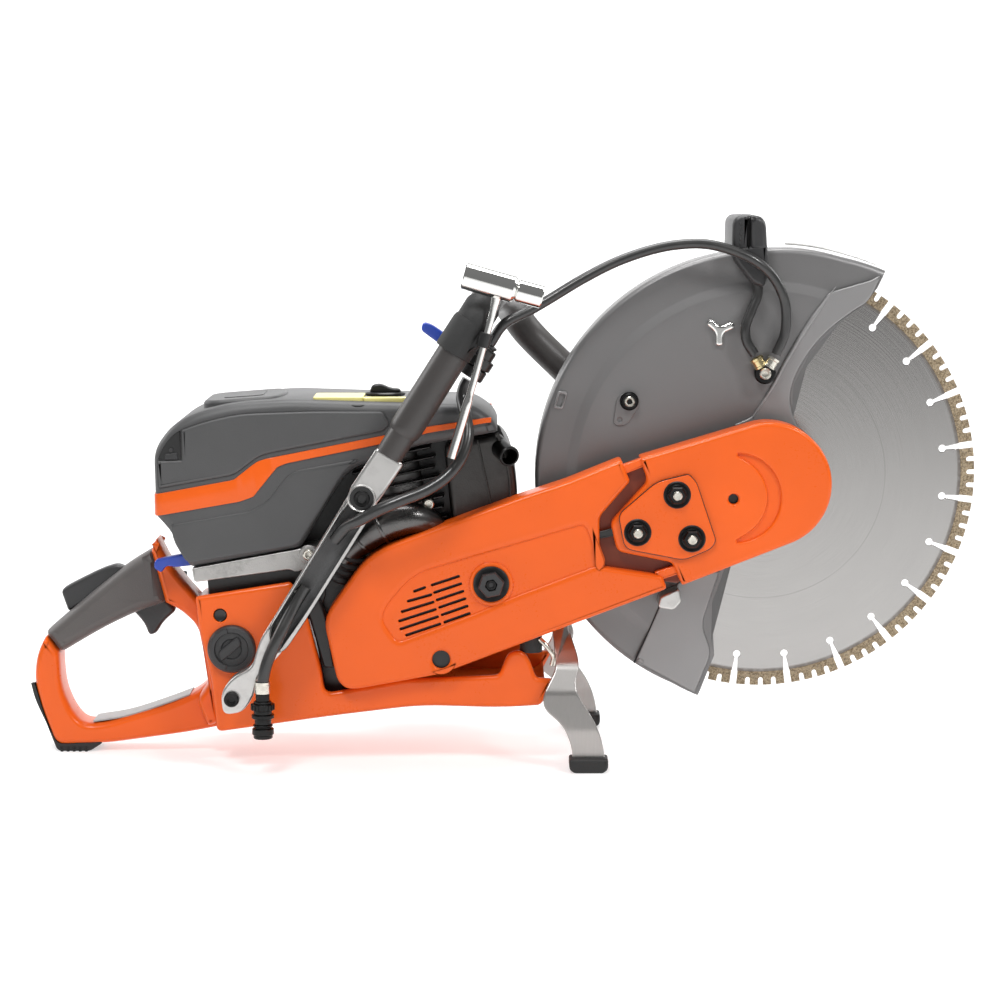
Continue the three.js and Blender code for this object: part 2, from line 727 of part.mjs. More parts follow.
add("filter_base", filterBase(), finish.castAluminium);
add(
  "air_filter",
  prism(back([[-452, -63, 3], [-386, -52, 3], [-384, 20, 12], [-452, 20, 12]]), -44, 44),
  finish.filterFoam,
);
add(
  "carburettor",
  cut(
    join(
      box(-428 + setBack, -388 + setBack, -20, 20, -116, -84),
      bar([-407 + setBack, 0, -86], [-407 + setBack, 0, -64.5], 13),
    ),
    bar([-407 + setBack, 0, -104], [-407 + setBack, 0, -60], 9),
  ),
  finish.castAluminium,
);

// ---------------------------------------------------------------- starter

function starterHousing() {
  const near = crankcase.far + FIT;
  const far = near + starter.depth;
  const { radius, wall } = starter;
  const cup = turned(crankX, crank.z, [
    [0, far], [radius - 6, far], [radius, far - 6], [radius, near], [radius - wall, near],
    [radius - wall, far - 7],
    [radius - wall - 5, far - wall], [6, far - wall], [6, starterY.near - 2], [0, starterY.near - 2],
  ], 28);
  const louvres = Array.from({ length: 8 }, (_, i) =>
    box(34, 50, far - wall - 1, far + 1, -3, 3).rotateY(radians(45 * i + 22.5)).translate(crankX, 0,
      crank.z),
  );
  return cut(cup, ...louvres, bar([ropeX, starterY.middle, crank.z + 40], [ropeX, starterY.middle, 0],
    starter.rope + 0.8, 10));
}

const starterY = { near: 86, far: 98, middle: 92 };
const ropeX = crankX - starter.pulley;
const handleFoot = crank.z + starter.radius - 1;

add("starter_housing", starterHousing(), finish.orange);
add(
  "starter_pulley",
  turned(crankX, crank.z, [
    [6 + FIT, starterY.near], [31, starterY.near], [31, starterY.middle - 2.5],
    [starter.pulley - starter.rope - FIT, starterY.middle - 2.5],
    [starter.pulley - starter.rope - FIT, starterY.middle + 2.5], [31, starterY.middle + 2.5],
    [31, starterY.far],
    [6 + FIT, starterY.far],
  ]),
  finish.darkPlastic,
);
add(
  "starter_rope",
  bar([ropeX, starterY.middle, crank.z], [ropeX, starterY.middle, handleFoot - FIT], starter.rope, 8),
  finish.filterFoam,
);
add(
  "starter_handle",
  join(
    bar([ropeX, starterY.middle, handleFoot], [ropeX, starterY.middle, handleFoot + 10], 6),
    box(ropeX - 26, ropeX + 26, starterY.middle - 8, starterY.middle + 8, handleFoot + 8, handleFoot + 22),
  ),
  finish.darkPlastic,
);

// ---------------------------------------------------------------- tank, rear handle and its controls

const cap = { x: -428 + setBack, z: -133, radius: 19.5 };
const gripAxis = { from: [-590, -143.5], to: [-480, -76.5] };

/** The grip's core: a flat bar through the rear handle, drawn a little larger for its bore. */
function gripCore(extra) {
  const [[x0, z0], [x1, z1]] = [gripAxis.from, gripAxis.to];
  const length = Math.hypot(x1 - x0, z1 - z0);
  const [nx, nz] = [(z0 - z1) / length, (x1 - x0) / length];
  const half = grip.core + extra;
  const corners = [
    [x0 - nx * half, z0 - nz * half], [x1 - nx * half, z1 - nz * half],
    [x1 + nx * half, z1 + nz * half], [x0 + nx * half, z0 + nz * half],
  ];
  return prism(back(corners), -grip.coreHalfWidth - extra, grip.coreHalfWidth + extra);
}

const gripCorners = [[-586, -129, 2], [-498, -61, 2], [-487, -104, 3], [-513, -112, 6], [-573, -145, 2]];

function tankFrame() {
  const ends = FIT + 0.2;
  const loopOuter = [
    [-493, -51, 2], [-498 + ends, -61], [-487 + ends, -104], [-475, -110, 6], [-461, -123, 6],
    [-451, -168, 4], [-463, -178, 6],
    [-485, -188, 8], [-537, -204, 8], [-557, -206, 8], [-567, -194, 8], [-574, -168, 8], [-574, -146.5],
    [-587, -130.5], [-593, -146, 6], [-593, -167, 8], [-576, -222, 5], [-537, -219, 4], [-440, -208],
    [-430, -110], [-461, -100, 6],
  ];
  const body = [
    [-456, -95], [-453, -117], [-445, -158], [-441, -201, 3], [-350, -188], [-277, -179], [-213, -181],
    [-180, -179, 3],
    [-169, -158, 3], [-184, -157, 2], [-192, -134, 5], [-206, -134, 6], [-214, -156], [-356, -170],
    [-367, -108], [-379, -79],
  ];
  const chamber = [[-436, -126, 3], [-440, -192, 3], [-362, -184, 3], [-371, -126, 3]];
  const half = tank.halfWidth;
  const tray = [[-352, -166], [-344, -184], [-277, -175.5], [-213, -177.5], [-184, -175.5], [-174, -150]];
  return cut(
    join(prism(back(loopOuter), -loop.halfWidth, loop.halfWidth), prism(back(body), -half, half),
      gripCore(0)),
    prism(back(chamber), tank.wall - half, half - tank.wall),
    disc(cap.x, cap.z, tank.neck, -half - 1, -half + 8),
    box(-436 + setBack, -370 + setBack, -36, 36, -120, -60),
    prism(back(tray), -half + 6, half - 6),
    disc(-437 + setBack, -106, 5, -half - 1, -half + 6, 12),
    prism(back([[-470, -60], [-455, -107], [-430, -107], [-430, -60]]), -loop.halfWidth - 1,
      loop.halfWidth + 1),
  );
}

function rearPad() {
  const z = floor;
  const corners = [
    [-596, -171], [-593 - FIT, -169], [-576 - FIT, -222.6, 4], [-540, -219.6], [-540, -222], [-552, z],
    [-578, z, 3],
  ];
  return prism(back(corners), -16, 16);
}

function rearGrip() {
  const triggerSlot = back([[-520, -118], [-519, -103], [-494, -92], [-470, -94], [-470, -120]]);
  const lockoutSlot = back([[-580, -100], [-578, -126], [-570, -124.5], [-518, -90.5], [-514, -70]]);
  return cut(
    prism(back(gripCorners), -grip.halfWidth, grip.halfWidth), gripCore(FIT),
    prism(triggerSlot, -grip.slot, grip.slot), prism(lockoutSlot, -grip.slot, grip.slot),
  );
}

add("tank_frame", tankFrame(), finish.orange);
add("rear_foot_pad", rearPad(), finish.rubber);
add("rear_grip", rearGrip(), finish.gripRubber);
add(
  "throttle_trigger",
  prism(back([[-515, -112.5, 3], [-500, -133, 3], [-495, -125, 3], [-493, -118, 3], [-491, -99, 3],
    [-497, -98, 3]]), -7, 7),
  finish.darkPlastic,
);
add(
  "throttle_lockout",
  prism(back([[-573, -96, 3], [-527, -75, 3], [-520, -78, 2], [-523, -85, 2], [-568, -112, 2]]), -7, 7),
  finish.darkPlastic,
);
add(
  "fuel_cap",
  turned(cap.x, cap.z, [
    [0, -tank.halfWidth - 6], [cap.radius - 1, -tank.halfWidth - 6], [cap.radius, -tank.halfWidth - 5],
    [cap.radius, -tank.halfWidth - FIT], [tank.neck - FIT, -tank.halfWidth - FIT],
    [tank.neck - FIT, -tank.halfWidth + 7], [0, -tank.halfWidth + 7],
  ]),
  finish.darkPlastic,
);
add(
  "choke_lever",
  prism(back([[-492, -73, 2], [-492, -63, 2], [-470, -60, 2], [-464, -66, 2], [-464, -84], [-448, -84],
    [-448, -88], [-469, -88, 2], [-469, -71, 2], [-487, -69]]), -34, -27),
  finish.blue,
);
add(
  "stop_switch",
  join(
    box(-485 + setBack, -473 + setBack, loop.halfWidth + FIT, loop.halfWidth + 4, -93, -83),
    box(-482 + setBack, -476 + setBack, loop.halfWidth + 3, loop.halfWidth + 6, -93, -83),
  ),
  finish.rubber,
);

// ---------------------------------------------------------------- front handle and water valve

const along = new THREE.Vector3(64, 0, 101).normalize(); // the near run's direction
const tubePath = curve(
  [
    [-300, tube.near, 26], [-268, tube.near, 76.5], [-236.6, tube.near, 126], [-231.6, -91, 134],
    [-221, -66, 149],
    [-214, -10, 147], [-209, 60, 140], [-203, 94, 130], [-190, tube.far, 111], [-158, tube.far, 79],
    [-122, tube.far, 45], [-108, 103, 12], [-114, 98, -25], [-132, 88, -62], [-160, 76, -94],
  ].map(([x, y, z]) => [x + setBack, y, z]),
);
const TUBE_STEPS = 28;

function handleTube() {
  const tongue = back([[-309, 33], [-288, 20], [-310, -12, 3], [-319, -18, 5], [-331, -14, 5],
    [-331, 0, 3]]);
  return cut(
    join(sweep(tubePath, tube.radius, TUBE_STEPS), prism(tongue, bracket.near - 2, bracket.near + 4)),
    disc(-322 + setBack, -9, 4, bracket.near - 3, bracket.near + 5, 12),
  );
}

function gripSleeve() {
  const cover = new Stretch(tubePath, 1 / TUBE_STEPS, 20 / TUBE_STEPS);
  return cut(sweep(cover, tube.sleeve, 19), sweep(tubePath,
    tube.radius / Math.cos(Math.PI / SIDES) + FIT, TUBE_STEPS));
}

/** A point on the near run's axis, by its height, moved sideways in Y. */
const onRun = (z, y = tube.near) => [-300 + setBack + ((z - 26) * 64) / 101, y, z];

const key = { y: -107, shaft: 2.8, way: new THREE.Vector3(-0.294, 0, -0.956), clip: [-222.3, 126] };

function valveClamp() {
  const bore = (tube.sleeve + FIT) / Math.cos(Math.PI / SIDES) + 0.2;
  const block = box(-5.5, 5.5, key.y - 4, -90, -6, 6)
    .rotateY(Math.atan2(key.way.x, key.way.z) + Math.PI)
    .translate(key.clip[0] + setBack, 0, key.clip[1]);
  const channel = box(-key.shaft - FIT, key.shaft + FIT, key.y - 6, key.y + key.shaft + FIT, -9, 9)
    .rotateY(Math.atan2(key.way.x, key.way.z) + Math.PI)
    .translate(key.clip[0] + setBack, 0, key.clip[1]);
  return cut(join(bar(onRun(111), onRun(127), bore + 1.6), block), bar(onRun(100), onRun(150), bore, 24),
    channel);
}

const valve = { y: -66, from: [-237, 86], length: 30, radius: 9, leverAt: 14 };
const alongValve = (distance) => [
  valve.from[0] + setBack + along.x * distance, valve.y, valve.from[1] + along.z * distance,
];

/** The lever: a ring round the valve with a paddle that points backwards. */
function valveLever() {
  const paddle = [[-9, -4, 1], [-30, -5, 4], [-52, -3, 4], [-54, 3, 3], [-48, 5, 4], [-9, 4, 1]];
  const [x, y, z] = alongValve(valve.leverAt);
  return cut(
    join(bar([0, 0, -4], [0, 0, 4], valve.radius + 4, 16), prism(paddle, -7, 5)),
    bar([0, 0, -6], [0, 0, 6], valve.radius + FIT, 24),
  )
    .rotateY(Math.atan2(along.x, along.z))
    .translate(x, y, z);
}

add("front_handle_tube", handleTube(), finish.castAluminium);
add("front_grip_sleeve", gripSleeve(), finish.gripRubber);
add("valve_clamp", valveClamp(), finish.darkPlastic);
add(
  "valve_body",
  join(
    bar(alongValve(0), alongValve(valve.leverAt - 5), valve.radius + 1.5),
    bar(alongValve(0), alongValve(valve.length - 4), valve.radius - FIT),
    bar(alongValve(valve.length - 8), alongValve(valve.length), 6),
  ),
  finish.darkPlastic,
);
add("valve_lever", valveLever(), finish.blue);

function combinationKey() {
  const head = [[-241, 167.4], [-201, 156.2], [-180, 150.5]].map(([x, z]) => [x + setBack, key.y, z]);
  const shaft = [[-213, 160], [-238, 69], [-251, 26]].map(([x, z]) => [x + setBack, key.y, z]);
  return cut(
    join(bar(head[0], head[1], 9.5, 16), bar(head[1], head[2], 8, 16),
      bar(shaft[0], shaft[1], key.shaft), bar(shaft[1], shaft[2], 3.5)),
    bar([head[0][0] - 1.93, key.y, head[0][2] + 0.53], [-228 + setBack, key.y, 163.8], 7.5, 6),
    bar([head[2][0] + 1.93, key.y, head[2][2] - 0.53], [-190 + setBack, key.y, 153.2], 6, 6),
  );
}

add("combination_key", combinationKey(), finish.chrome);

// ---------------------------------------------------------------- bracket and water hoses

const boltAt = [-425 + setBack, -173];

function handleArm() {
  const corners = back([
    [-323, 10], [-341, -20], [-376, -77], [-393, -105], [-402, -119, 6], [-409, -142, 5],
    [-425, -150, 5], [-434, -163, 5],
    [-432, -180, 3], [-417, -178, 3], [-408, -166, 5], [-404, -148, 6], [-389, -135, 6], [-365, -101],
    [-313, -18], [-303, 0],
  ]);
  const channel = back([
    [-328, -4], [-338.3, -21], [-373.5, -78.5], [-390.5, -106], [-394, -113], [-388, -127], [-385, -126],
    [-367.5, -102],
    [-316.5, -20.5], [-314, -10],
  ]);
  const seat = back([[-352, 45], [-338, -22], [-322, -29], [-306, -22], [-270, 45]]);
  return cut(
    join(prism(corners, bracket.near, bracket.back),
      disc(...boltAt, 8, bracket.back - 1, -tank.halfWidth - FIT)),
    prism(channel, bracket.near - 1, bracket.floor),
    prism(seat, bracket.near - 1, bracket.near + 4.3),
    disc(...boltAt, 3.5, bracket.near - 1, -tank.halfWidth, 12),
  );
}

const supplyPath = [[-343, -90.8, -41], [-334, -96, -30], [-322, -103.5, -23], [-308, -107, -15],
  [-289, -106, -7],
  [-271, -103, 0], [-254, -98, 11], [-243, -93, 25], [-238, -86, 41], [-240, -78, 56], [-243, -68, 69],
  [-241.5, -66, 77.5], [-238.3, -66, 83.6]];
const guardPath = [[-220.8, -66, 111.6], [-210, -66, 127], [-189, -62, 138], [-175, -60, 146],
  [-148, -55, 162],
  [-121, -51, 175.5], [-93, -48, 185], [-73, -47, 188.8], [-52, -46.5, 189.5], [-32, -47, 185.3],
  [-11, -48, 176],
  [3, -46, 164], [12, -43, 148], [15, -40, 134], [14, -38, 117], [7.6, -37, 101.4]];
const inletPath = [[-366, -90.8, -78], [-374, -93, -91], [-386.5, -101, -115], [-396.5, -102, -138],
  [-399.6, -102, -152], [-400, -102, -161]];
const moved = (points) => points.map(([x, y, z]) => [x + setBack, y, z]);

add("handle_arm", handleArm(), finish.castAluminium);
add("hose_feed", sweep(curve(moved(supplyPath)), hose.supply, 20, 8), finish.hoseRubber);
add("hose_guard", sweep(curve(guardPath.map(([x, y, z], i) => [x + (i < 2 ? setBack : 0), y, z])),
  hose.guard, 28, 8), finish.hoseRubber);
add("hose_inlet", sweep(curve(moved(inletPath)), hose.supply, 8, 8), finish.hoseRubber);

/** The quick coupling at the end of the inlet hose, turned about an upright axis. */
function hoseConnector() {
  const top = -161 - FIT;
  const steps = [[5.5, 8], [9, 5], [7, 4], [9, 3], [6.5, 8], [8.5, 5], [7.5, 3]];
  let z = top;
  const pieces = steps.map(([radius, height]) => {
    const piece = bar([-400 + setBack, -102, z], [-400 + setBack, -102, z - height - 0.2], radius, 16);
    z -= height;
    return piece;
  });
  return cut(join(...pieces), bar([-400 + setBack, -102, z - 1], [-400 + setBack, -102, z + 20], 4));
}

add("hose_connector", hoseConnector(), finish.blackSteel);

// ---------------------------------------------------------------- front stand

/** One bent leg: its side view and its front view, extruded through each other. */
function leg(side) {
  const face = back([
    [-172, -108], [-168, -147, 4], [-180, -167, 6], [-178, -178, 4], [-162, -192, 6], [-156, -208, 6],
    [-155, -219],
    [-129, -219], [-132, -202, 6], [-138, -187, 6], [-151, -168, 6], [-153, -157, 5], [-149, -143, 5],
    [-157, -122, 5], [-158, -108],
  ]);
  const spine = [[40, -108], [41, -124], [70, -145], [80, -165], [84, -195], [84, -219]];
  const half = stand.thickness / 2;
  const strip = new THREE.Shape([
    ...spine.map(([y, z]) => new THREE.Vector2(side * (y + half), z)),
    ...spine.reverse().map(([y, z]) => new THREE.Vector2(side * (y - half), z)),
  ]);
  const curtain = new THREE.ExtrudeGeometry(strip, { depth: 80, bevelEnabled: false })
    .applyMatrix4(new THREE.Matrix4().makeBasis(new THREE.Vector3(0, 1, 0), new THREE.Vector3(0, 0, 1),
      new THREE.Vector3(1, 0, 0)))
    .translate(-195 + setBack, 0, 0);
  return common(prism(face, -100, 100), curtain);
}

const beam = box(-172 + setBack, -158 + setBack, -42, 42, -104.4 - stand.thickness, -104.4);
add("front_stand", join(beam, leg(-1), leg(1)), finish.steel);

function footPad(side) {
  const pad = box(-158 + setBack, -126 + setBack, -10, 10, floor, floor + stand.pad + 6);
  const pocket = box(-156.5 + setBack, -127.5 + setBack, -2.6, 2.6, floor + 8.7, floor + 20);
  return cut(pad, pocket).translate(0, side * 84, 0);
}

add("foot_pad_right", footPad(-1), finish.rubber);
add("foot_pad_left", footPad(1), finish.rubber);

// ---------------------------------------------------------------- stand the saw on its feet

const extent = new THREE.Box3();
saw.children.filter((mesh) => !cords.has(mesh.name)).forEach((mesh) => extent.expandByObject(mesh, true));
const centre = extent.getCenter(new THREE.Vector3());
saw.position.set(-centre.x, -centre.y, -extent.min.z);

export default saw;
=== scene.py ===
"""Surfaces, materials, light and camera for a petrol cut-off saw, built round its CAD frame.

Every shape is given in millimetres from the blade's axis: X forwards, Y to the machine's left, Z up.
"""

import math

import bmesh
import bpy
import numpy as np
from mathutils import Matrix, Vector
from mathutils.geometry import tessellate_polygon


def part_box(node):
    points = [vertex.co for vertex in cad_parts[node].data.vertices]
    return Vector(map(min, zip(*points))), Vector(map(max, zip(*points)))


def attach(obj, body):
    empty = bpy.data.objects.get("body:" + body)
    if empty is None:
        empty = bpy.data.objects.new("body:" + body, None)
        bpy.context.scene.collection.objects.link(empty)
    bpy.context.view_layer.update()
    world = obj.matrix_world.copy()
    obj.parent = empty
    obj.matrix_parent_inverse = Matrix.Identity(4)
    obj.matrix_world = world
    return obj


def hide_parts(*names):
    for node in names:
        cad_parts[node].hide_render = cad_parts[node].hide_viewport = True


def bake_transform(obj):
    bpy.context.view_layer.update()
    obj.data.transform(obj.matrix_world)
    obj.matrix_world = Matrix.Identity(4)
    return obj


bl_info = {
    "name": "Cut-off saw",
    "version": (1, 0, 0),
    "blender": (4, 5, 0),
    "location": "View3D > Sidebar > Saw",
    "description": "Builds the surfaces and materials of a cut-off saw on its packed frame",
    "category": "Add Mesh",
}

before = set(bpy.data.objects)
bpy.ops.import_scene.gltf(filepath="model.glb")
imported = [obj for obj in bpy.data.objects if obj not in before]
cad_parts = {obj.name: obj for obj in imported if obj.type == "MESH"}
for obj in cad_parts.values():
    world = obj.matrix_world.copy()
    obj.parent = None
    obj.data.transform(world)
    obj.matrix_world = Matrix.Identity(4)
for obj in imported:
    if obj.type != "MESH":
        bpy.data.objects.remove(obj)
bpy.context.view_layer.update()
MM = 0.001
AXIS = np.array((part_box("blade")[0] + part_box("blade")[1]) / 2)

# Outlines, in millimetres or as shares.
CORNER_SHARE = 0.45  # the longest share of an edge that one rounded corner takes
SHARPEST_TURN = 0.35  # limits the step inwards where an outline turns back on itself
SUPPORT = 0.4  # the strip beside a rounded edge that keeps the flat face's shading flat
SPAN_STEPS = 24  # points on each span of a smooth path before it is spaced evenly

# Meshes, in metres.
MERGE_DISTANCE = 2e-6
THINNEST_EDGE = 1e-6


# ---------------------------------------------------------------- places taken from the frame


def place(points):
    """Millimetres from the blade's axis, as metres in the row frame."""
    return np.asarray(points, float) * MM + AXIS


def extent(node):
    """A CAD node's lowest and highest corner, in millimetres from the blade's axis."""
    return [(np.array(corner) - AXIS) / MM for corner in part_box(node)]


def near(node):
    """The Y of a node's side that faces the machine's right."""
    return extent(node)[0][1]


def far(node):
    """The Y of a node's side that faces the machine's left."""
    return extent(node)[1][1]


# ---------------------------------------------------------------- outlines


def rounded(corners, steps=5):
    """Rounds the corners of an outline in X and Z: each corner is the middle control point of a quadratic
    curve between the points at its third number's distance along its two edges."""
    data = np.array([(*corner, 0)[:3] for corner in corners], float)
    point, reach = data[:, :2], data[:, 2:]
    before, after = np.roll(point, 1, 0) - point, np.roll(point, -1, 0) - point
    size_before = np.linalg.norm(before, axis=1, keepdims=True)
    size_after = np.linalg.norm(after, axis=1, keepdims=True)
    start = point + before / size_before * np.minimum(reach, CORNER_SHARE * size_before)
    end = point + after / size_after * np.minimum(reach, CORNER_SHARE * size_after)
    t = np.linspace(0, 1, steps + 1)[None, :, None]
    bend = (1 - t) ** 2 * start[:, None] + 2 * t * (1 - t) * point[:, None] + t**2 * end[:, None]
    return without_doubles(bend.reshape(-1, 2))


def without_doubles(loop):
    """An outline without the points that coincide with the one before."""
    return loop[np.linalg.norm(loop - np.roll(loop, 1, 0), axis=1) > 1e-3]


def polar(radius, degrees):
    """X and Z of points given by radius and angle: radius times cosine and sine."""
    turn = np.radians(degrees)
    return np.stack(np.broadcast_arrays(radius * np.cos(turn), radius * np.sin(turn)), -1)


def circle(x, z, radius, sides=48):
    """An outline of points at equal angles round a centre."""
    return np.array([x, z]) + polar(radius, np.arange(sides) * 360 / sides)


def arc(x, z, radius, start, end, steps):
    """Points on part of a circle, both ends included."""
    return [tuple(p) for p in np.array([x, z]) + polar(radius, np.linspace(start, end, steps + 1))]


def pill(start, end, radius, steps=8):
    """The outline of a slot: half circles of one radius round two points."""
    way = math.degrees(math.atan2(end[1] - start[1], end[0] - start[0]))
    return np.array(
        arc(*end, radius, way - 90, way + 90, steps) + arc(*start, radius, way + 90, way + 270, steps)
    )


def area(loop):
    """Half the sum of neighbouring points' cross products: positive for an anticlockwise outline."""
    x, z = loop.T
    return 0.5 * np.sum(x * np.roll(z, -1) - np.roll(x, -1) * z)


def inward(loop):
    """For each point of an outline, the step that moves both its edges inwards by one: the sum of the two
    edge normals, divided by half its squared length."""
    edge = np.roll(loop, -1, 0) - loop
    normal = np.stack([-edge[:, 1], edge[:, 0]], 1) / np.linalg.norm(edge, axis=1, keepdims=True)
    normal *= np.sign(area(loop))
    both = normal + np.roll(normal, 1, 0)
    return 2 * both / np.maximum(np.sum(both**2, 1, keepdims=True), SHARPEST_TURN)


# ---------------------------------------------------------------- forms


class Form:
    """Points in millimetres and the faces between them. Forms can be added, bent and mirrored."""

    def __init__(self, points, faces):
        self.points = np.asarray(points, float).reshape(-1, 3)
        self.faces = list(faces)

    def __add__(self, other):
        shift = len(self.points)
        moved = [[i + shift for i in face] for face in other.faces]
        return Form(np.vstack([self.points, other.points]), self.faces + moved)

    def bent(self, rule):
        """The same faces on points changed by a rule, which takes and gives an array of points."""
        return Form(rule(self.points.copy()), self.faces)

    def shifted(self, x=0, y=0, z=0):
        """Moved by a step along each axis."""
        return Form(self.points + (x, y, z), self.faces)

    def mirrored(self, y=0):
        """Reflected in the plane of one Y."""
        return Form(self.points * (1, -1, 1) + (0, 2 * y, 0), [face[::-1] for face in self.faces])

    def standing(self, origin, way, face=(0, -1, 0)):
        """Turned and moved: local Z goes along the way, local Y away from the face direction."""
        up = np.array(way, float) / np.linalg.norm(way)
        side = -np.array(face, float)
        side -= up * (side @ up)
        side /= np.linalg.norm(side)
        across = np.cross(side, up)
        turn = np.stack([across, side, up])
        return Form(self.points @ turn + np.array(origin, float), self.faces)


def grid_faces(rows, columns, closed_rows=False, closed_columns=True):
    """Quads between the points of a grid that is stored row by row."""
    i, j = np.meshgrid(
        np.arange(rows if closed_rows else rows - 1),
        np.arange(columns if closed_columns else columns - 1),
        indexing="ij",
    )
    below, right = (i + 1) % rows, (j + 1) % columns
    corners = [i * columns + j, i * columns + right, below * columns + right, below * columns + j]
    return np.stack([c.ravel() for c in corners], 1).tolist()


def loft(rings, closed=False):
    """A surface through rings of equally many points, with end faces unless it closes on itself."""
    rings = np.asarray(rings, float)
    rows, columns = rings.shape[:2]
    faces = grid_faces(rows, columns, closed_rows=closed)
    if not closed:
        faces += [list(range(columns)), list(range((rows - 1) * columns, rows * columns))]
    return Form(rings, faces)


def filled(loops, profiles):
    """Each outline carries its own profile of (inset, Y) steps. The first and last steps of all the
    outlines bound two flat faces, which are triangulated. The first outline is the outer edge, the rest
    are holes."""
    form = Form(np.zeros((0, 3)), [])
    first, last = [], []
    for number, (loop, profile) in enumerate(zip(loops, profiles)):
        loop, profile = np.asarray(loop, float), np.asarray(profile, float)
        step = inward(loop) * (1 if number == 0 else -1)
        flat = loop[None] + step[None] * profile[:, :1, None]
        height = np.broadcast_to(profile[:, 1:, None], (*flat.shape[:2], 1))
        points = np.concatenate([flat[..., :1], height, flat[..., 1:]], -1)
        base = len(form.points)
        form += Form(points, grid_faces(len(profile), len(loop)))
        count = len(loop)
        first.append(range(base, base + count))
        last.append(range(base + (len(profile) - 1) * count, base + len(profile) * count))
    for rims in (first, last):
        index = [i for rim in rims for i in rim]
        corners = [[Vector((form.points[i][0], form.points[i][2], 0)) for i in rim] for rim in rims]
        form.faces += [[index[i] for i in face] for face in tessellate_polygon(corners)]
    return form


def quarter(across, deep, y, inwards, steps=4):
    """The steps of a rounded edge from its side to its face at Y: a quarter of an ellipse."""
    turn = np.linspace(0, math.pi / 2, steps + 1)
    return [(across * (1 - math.cos(a)), y + inwards * deep * (1 - math.sin(a))) for a in turn]


def plate(outer, y0, y1, edge=(1, 1), holes=(), hole_edge=(0.5, 0.5), back_edge=None):
    """A flat solid between two Y values, with rounded edges at both faces."""
    back = back_edge or edge

    def profile(front, rear):
        start = quarter(*front, y0, 1)[::-1]
        end = quarter(*rear, y1, -1)
        return [(front[0] + SUPPORT, y0), *start, *end, (rear[0] + SUPPORT, y1)]

    return filled(
        [outer, *holes],
        [profile(edge, back), *[profile(hole_edge, hole_edge) for _ in holes]],
    )


def tray(outer, face, back, wall, edge=(2, 2), holes=(), hole_edge=(0.5, 0.5)):
    """An open-backed cover: a face at one Y, whose wall runs round its edge to another Y."""
    inwards = 1 if back > face else -1
    inside = face + inwards * wall
    around = [(wall + SUPPORT, inside), (wall, inside), (wall, back), (0, back)]
    around += [*quarter(*edge, face, inwards), (edge[0] + SUPPORT, face)]
    through = [
        (SUPPORT, inside), (0, inside), *quarter(*hole_edge, face, inwards), (hole_edge[0] + SUPPORT, face)
    ]
    return filled([outer, *holes], [around, *[through for _ in holes]])


def turned(profile, sides=48, closed=False):
    """A piece turned about local Z from (radius, height) points, which start and end on the axis or close
    on themselves."""
    radius, height = np.asarray(profile, float).T
    turn = np.arange(sides) * 2 * math.pi / sides
    x, y = radius[:, None] * np.cos(turn), radius[:, None] * np.sin(turn)
    rings = np.stack([x, y, np.broadcast_to(height[:, None], x.shape)], -1)
    return Form(rings, grid_faces(len(radius), sides, closed_rows=closed))


def knob_profile(steps, edge=0.6):
    """The profile of a stepped round bar from (radius, length) pairs, each step with a small chamfer."""
    points, z = [(0, 0)], 0
    for radius, length in steps:
        chamfer = min(edge, length / 3, radius / 3)
        points += [(radius - chamfer, z), (radius, z + chamfer)]
        z += length
        points += [(radius, z - chamfer), (radius - chamfer, z)]
    return [*points, (0, z)]


def along_y(form, x, y, z):
    """Stands a turned form on a point, with its axis towards the machine's right."""
    return form.standing((x, y, z), (0, -1, 0), face=(0, 0, -1))


def screw(x, y, z, radius=5, height=4, socket=2.4):
    """A socket head screw whose head stands out towards the machine's right: a turned head with a six-sided
    recess."""
    head = turned(
        [(0, 0), (radius, 0), (radius, height - 0.8), (radius - 0.8, height), (socket * 1.15, height),
         (socket, height - 0.3)],
        30,
    )
    recess = turned([(socket, height - 0.3), (socket * 0.98, height - 2.2), (0, height - 2.4)], 30)
    return along_y(head + recess, x, y, z)


def hexagon_nut(size, height, bore=0):
    """A hexagon with chamfered corners, by its size across flats, and with a round recess."""
    corner = size / math.sqrt(3)
    low = [(0, 0), (corner, 0), (corner, height - 1.2), (corner - 1, height)]
    return turned(
        [*low, (bore, height), (bore, height - 2.5), (0, height - 2.5)] if bore else [*low, (0, height)], 6
    )


def smooth_path(points, count):
    """Points at equal lengths on a centripetal Catmull-Rom curve: each span is the cubic whose ends have
    the tangents of its two neighbours, spaced by the square root of the chords."""
    p = np.asarray(points, float)
    p = np.vstack([2 * p[0] - p[1], p, 2 * p[-1] - p[-2]])
    gap = np.sqrt(np.linalg.norm(np.diff(p, axis=0), axis=1))
    p0, p1, p2, p3 = p[:-3], p[1:-2], p[2:-1], p[3:]
    d0, d1, d2 = gap[:-2, None], gap[1:-1, None], gap[2:, None]
    m1 = d1 * ((p1 - p0) / d0 - (p2 - p0) / (d0 + d1) + (p2 - p1) / d1)
    m2 = d1 * ((p2 - p1) / d1 - (p3 - p1) / (d1 + d2) + (p3 - p2) / d2)
    t = np.linspace(0, 1, SPAN_STEPS, endpoint=False)[None, :, None]
    p1, p2, m1, m2 = (a[:, None] for a in (p1, p2, m1, m2))
    fine = (2 * t**3 - 3 * t**2 + 1) * p1 + (t**3 - 2 * t**2 + t) * m1
    fine = fine + (3 * t**2 - 2 * t**3) * p2 + (t**3 - t**2) * m2
    fine = np.vstack([fine.reshape(-1, 3), p[-2]])
    way = np.concatenate([[0], np.cumsum(np.linalg.norm(np.diff(fine, axis=0), axis=1))])
    even = np.linspace(0, way[-1], count)
    return np.stack([np.interp(even, way, fine[:, axis]) for axis in range(3)], 1)


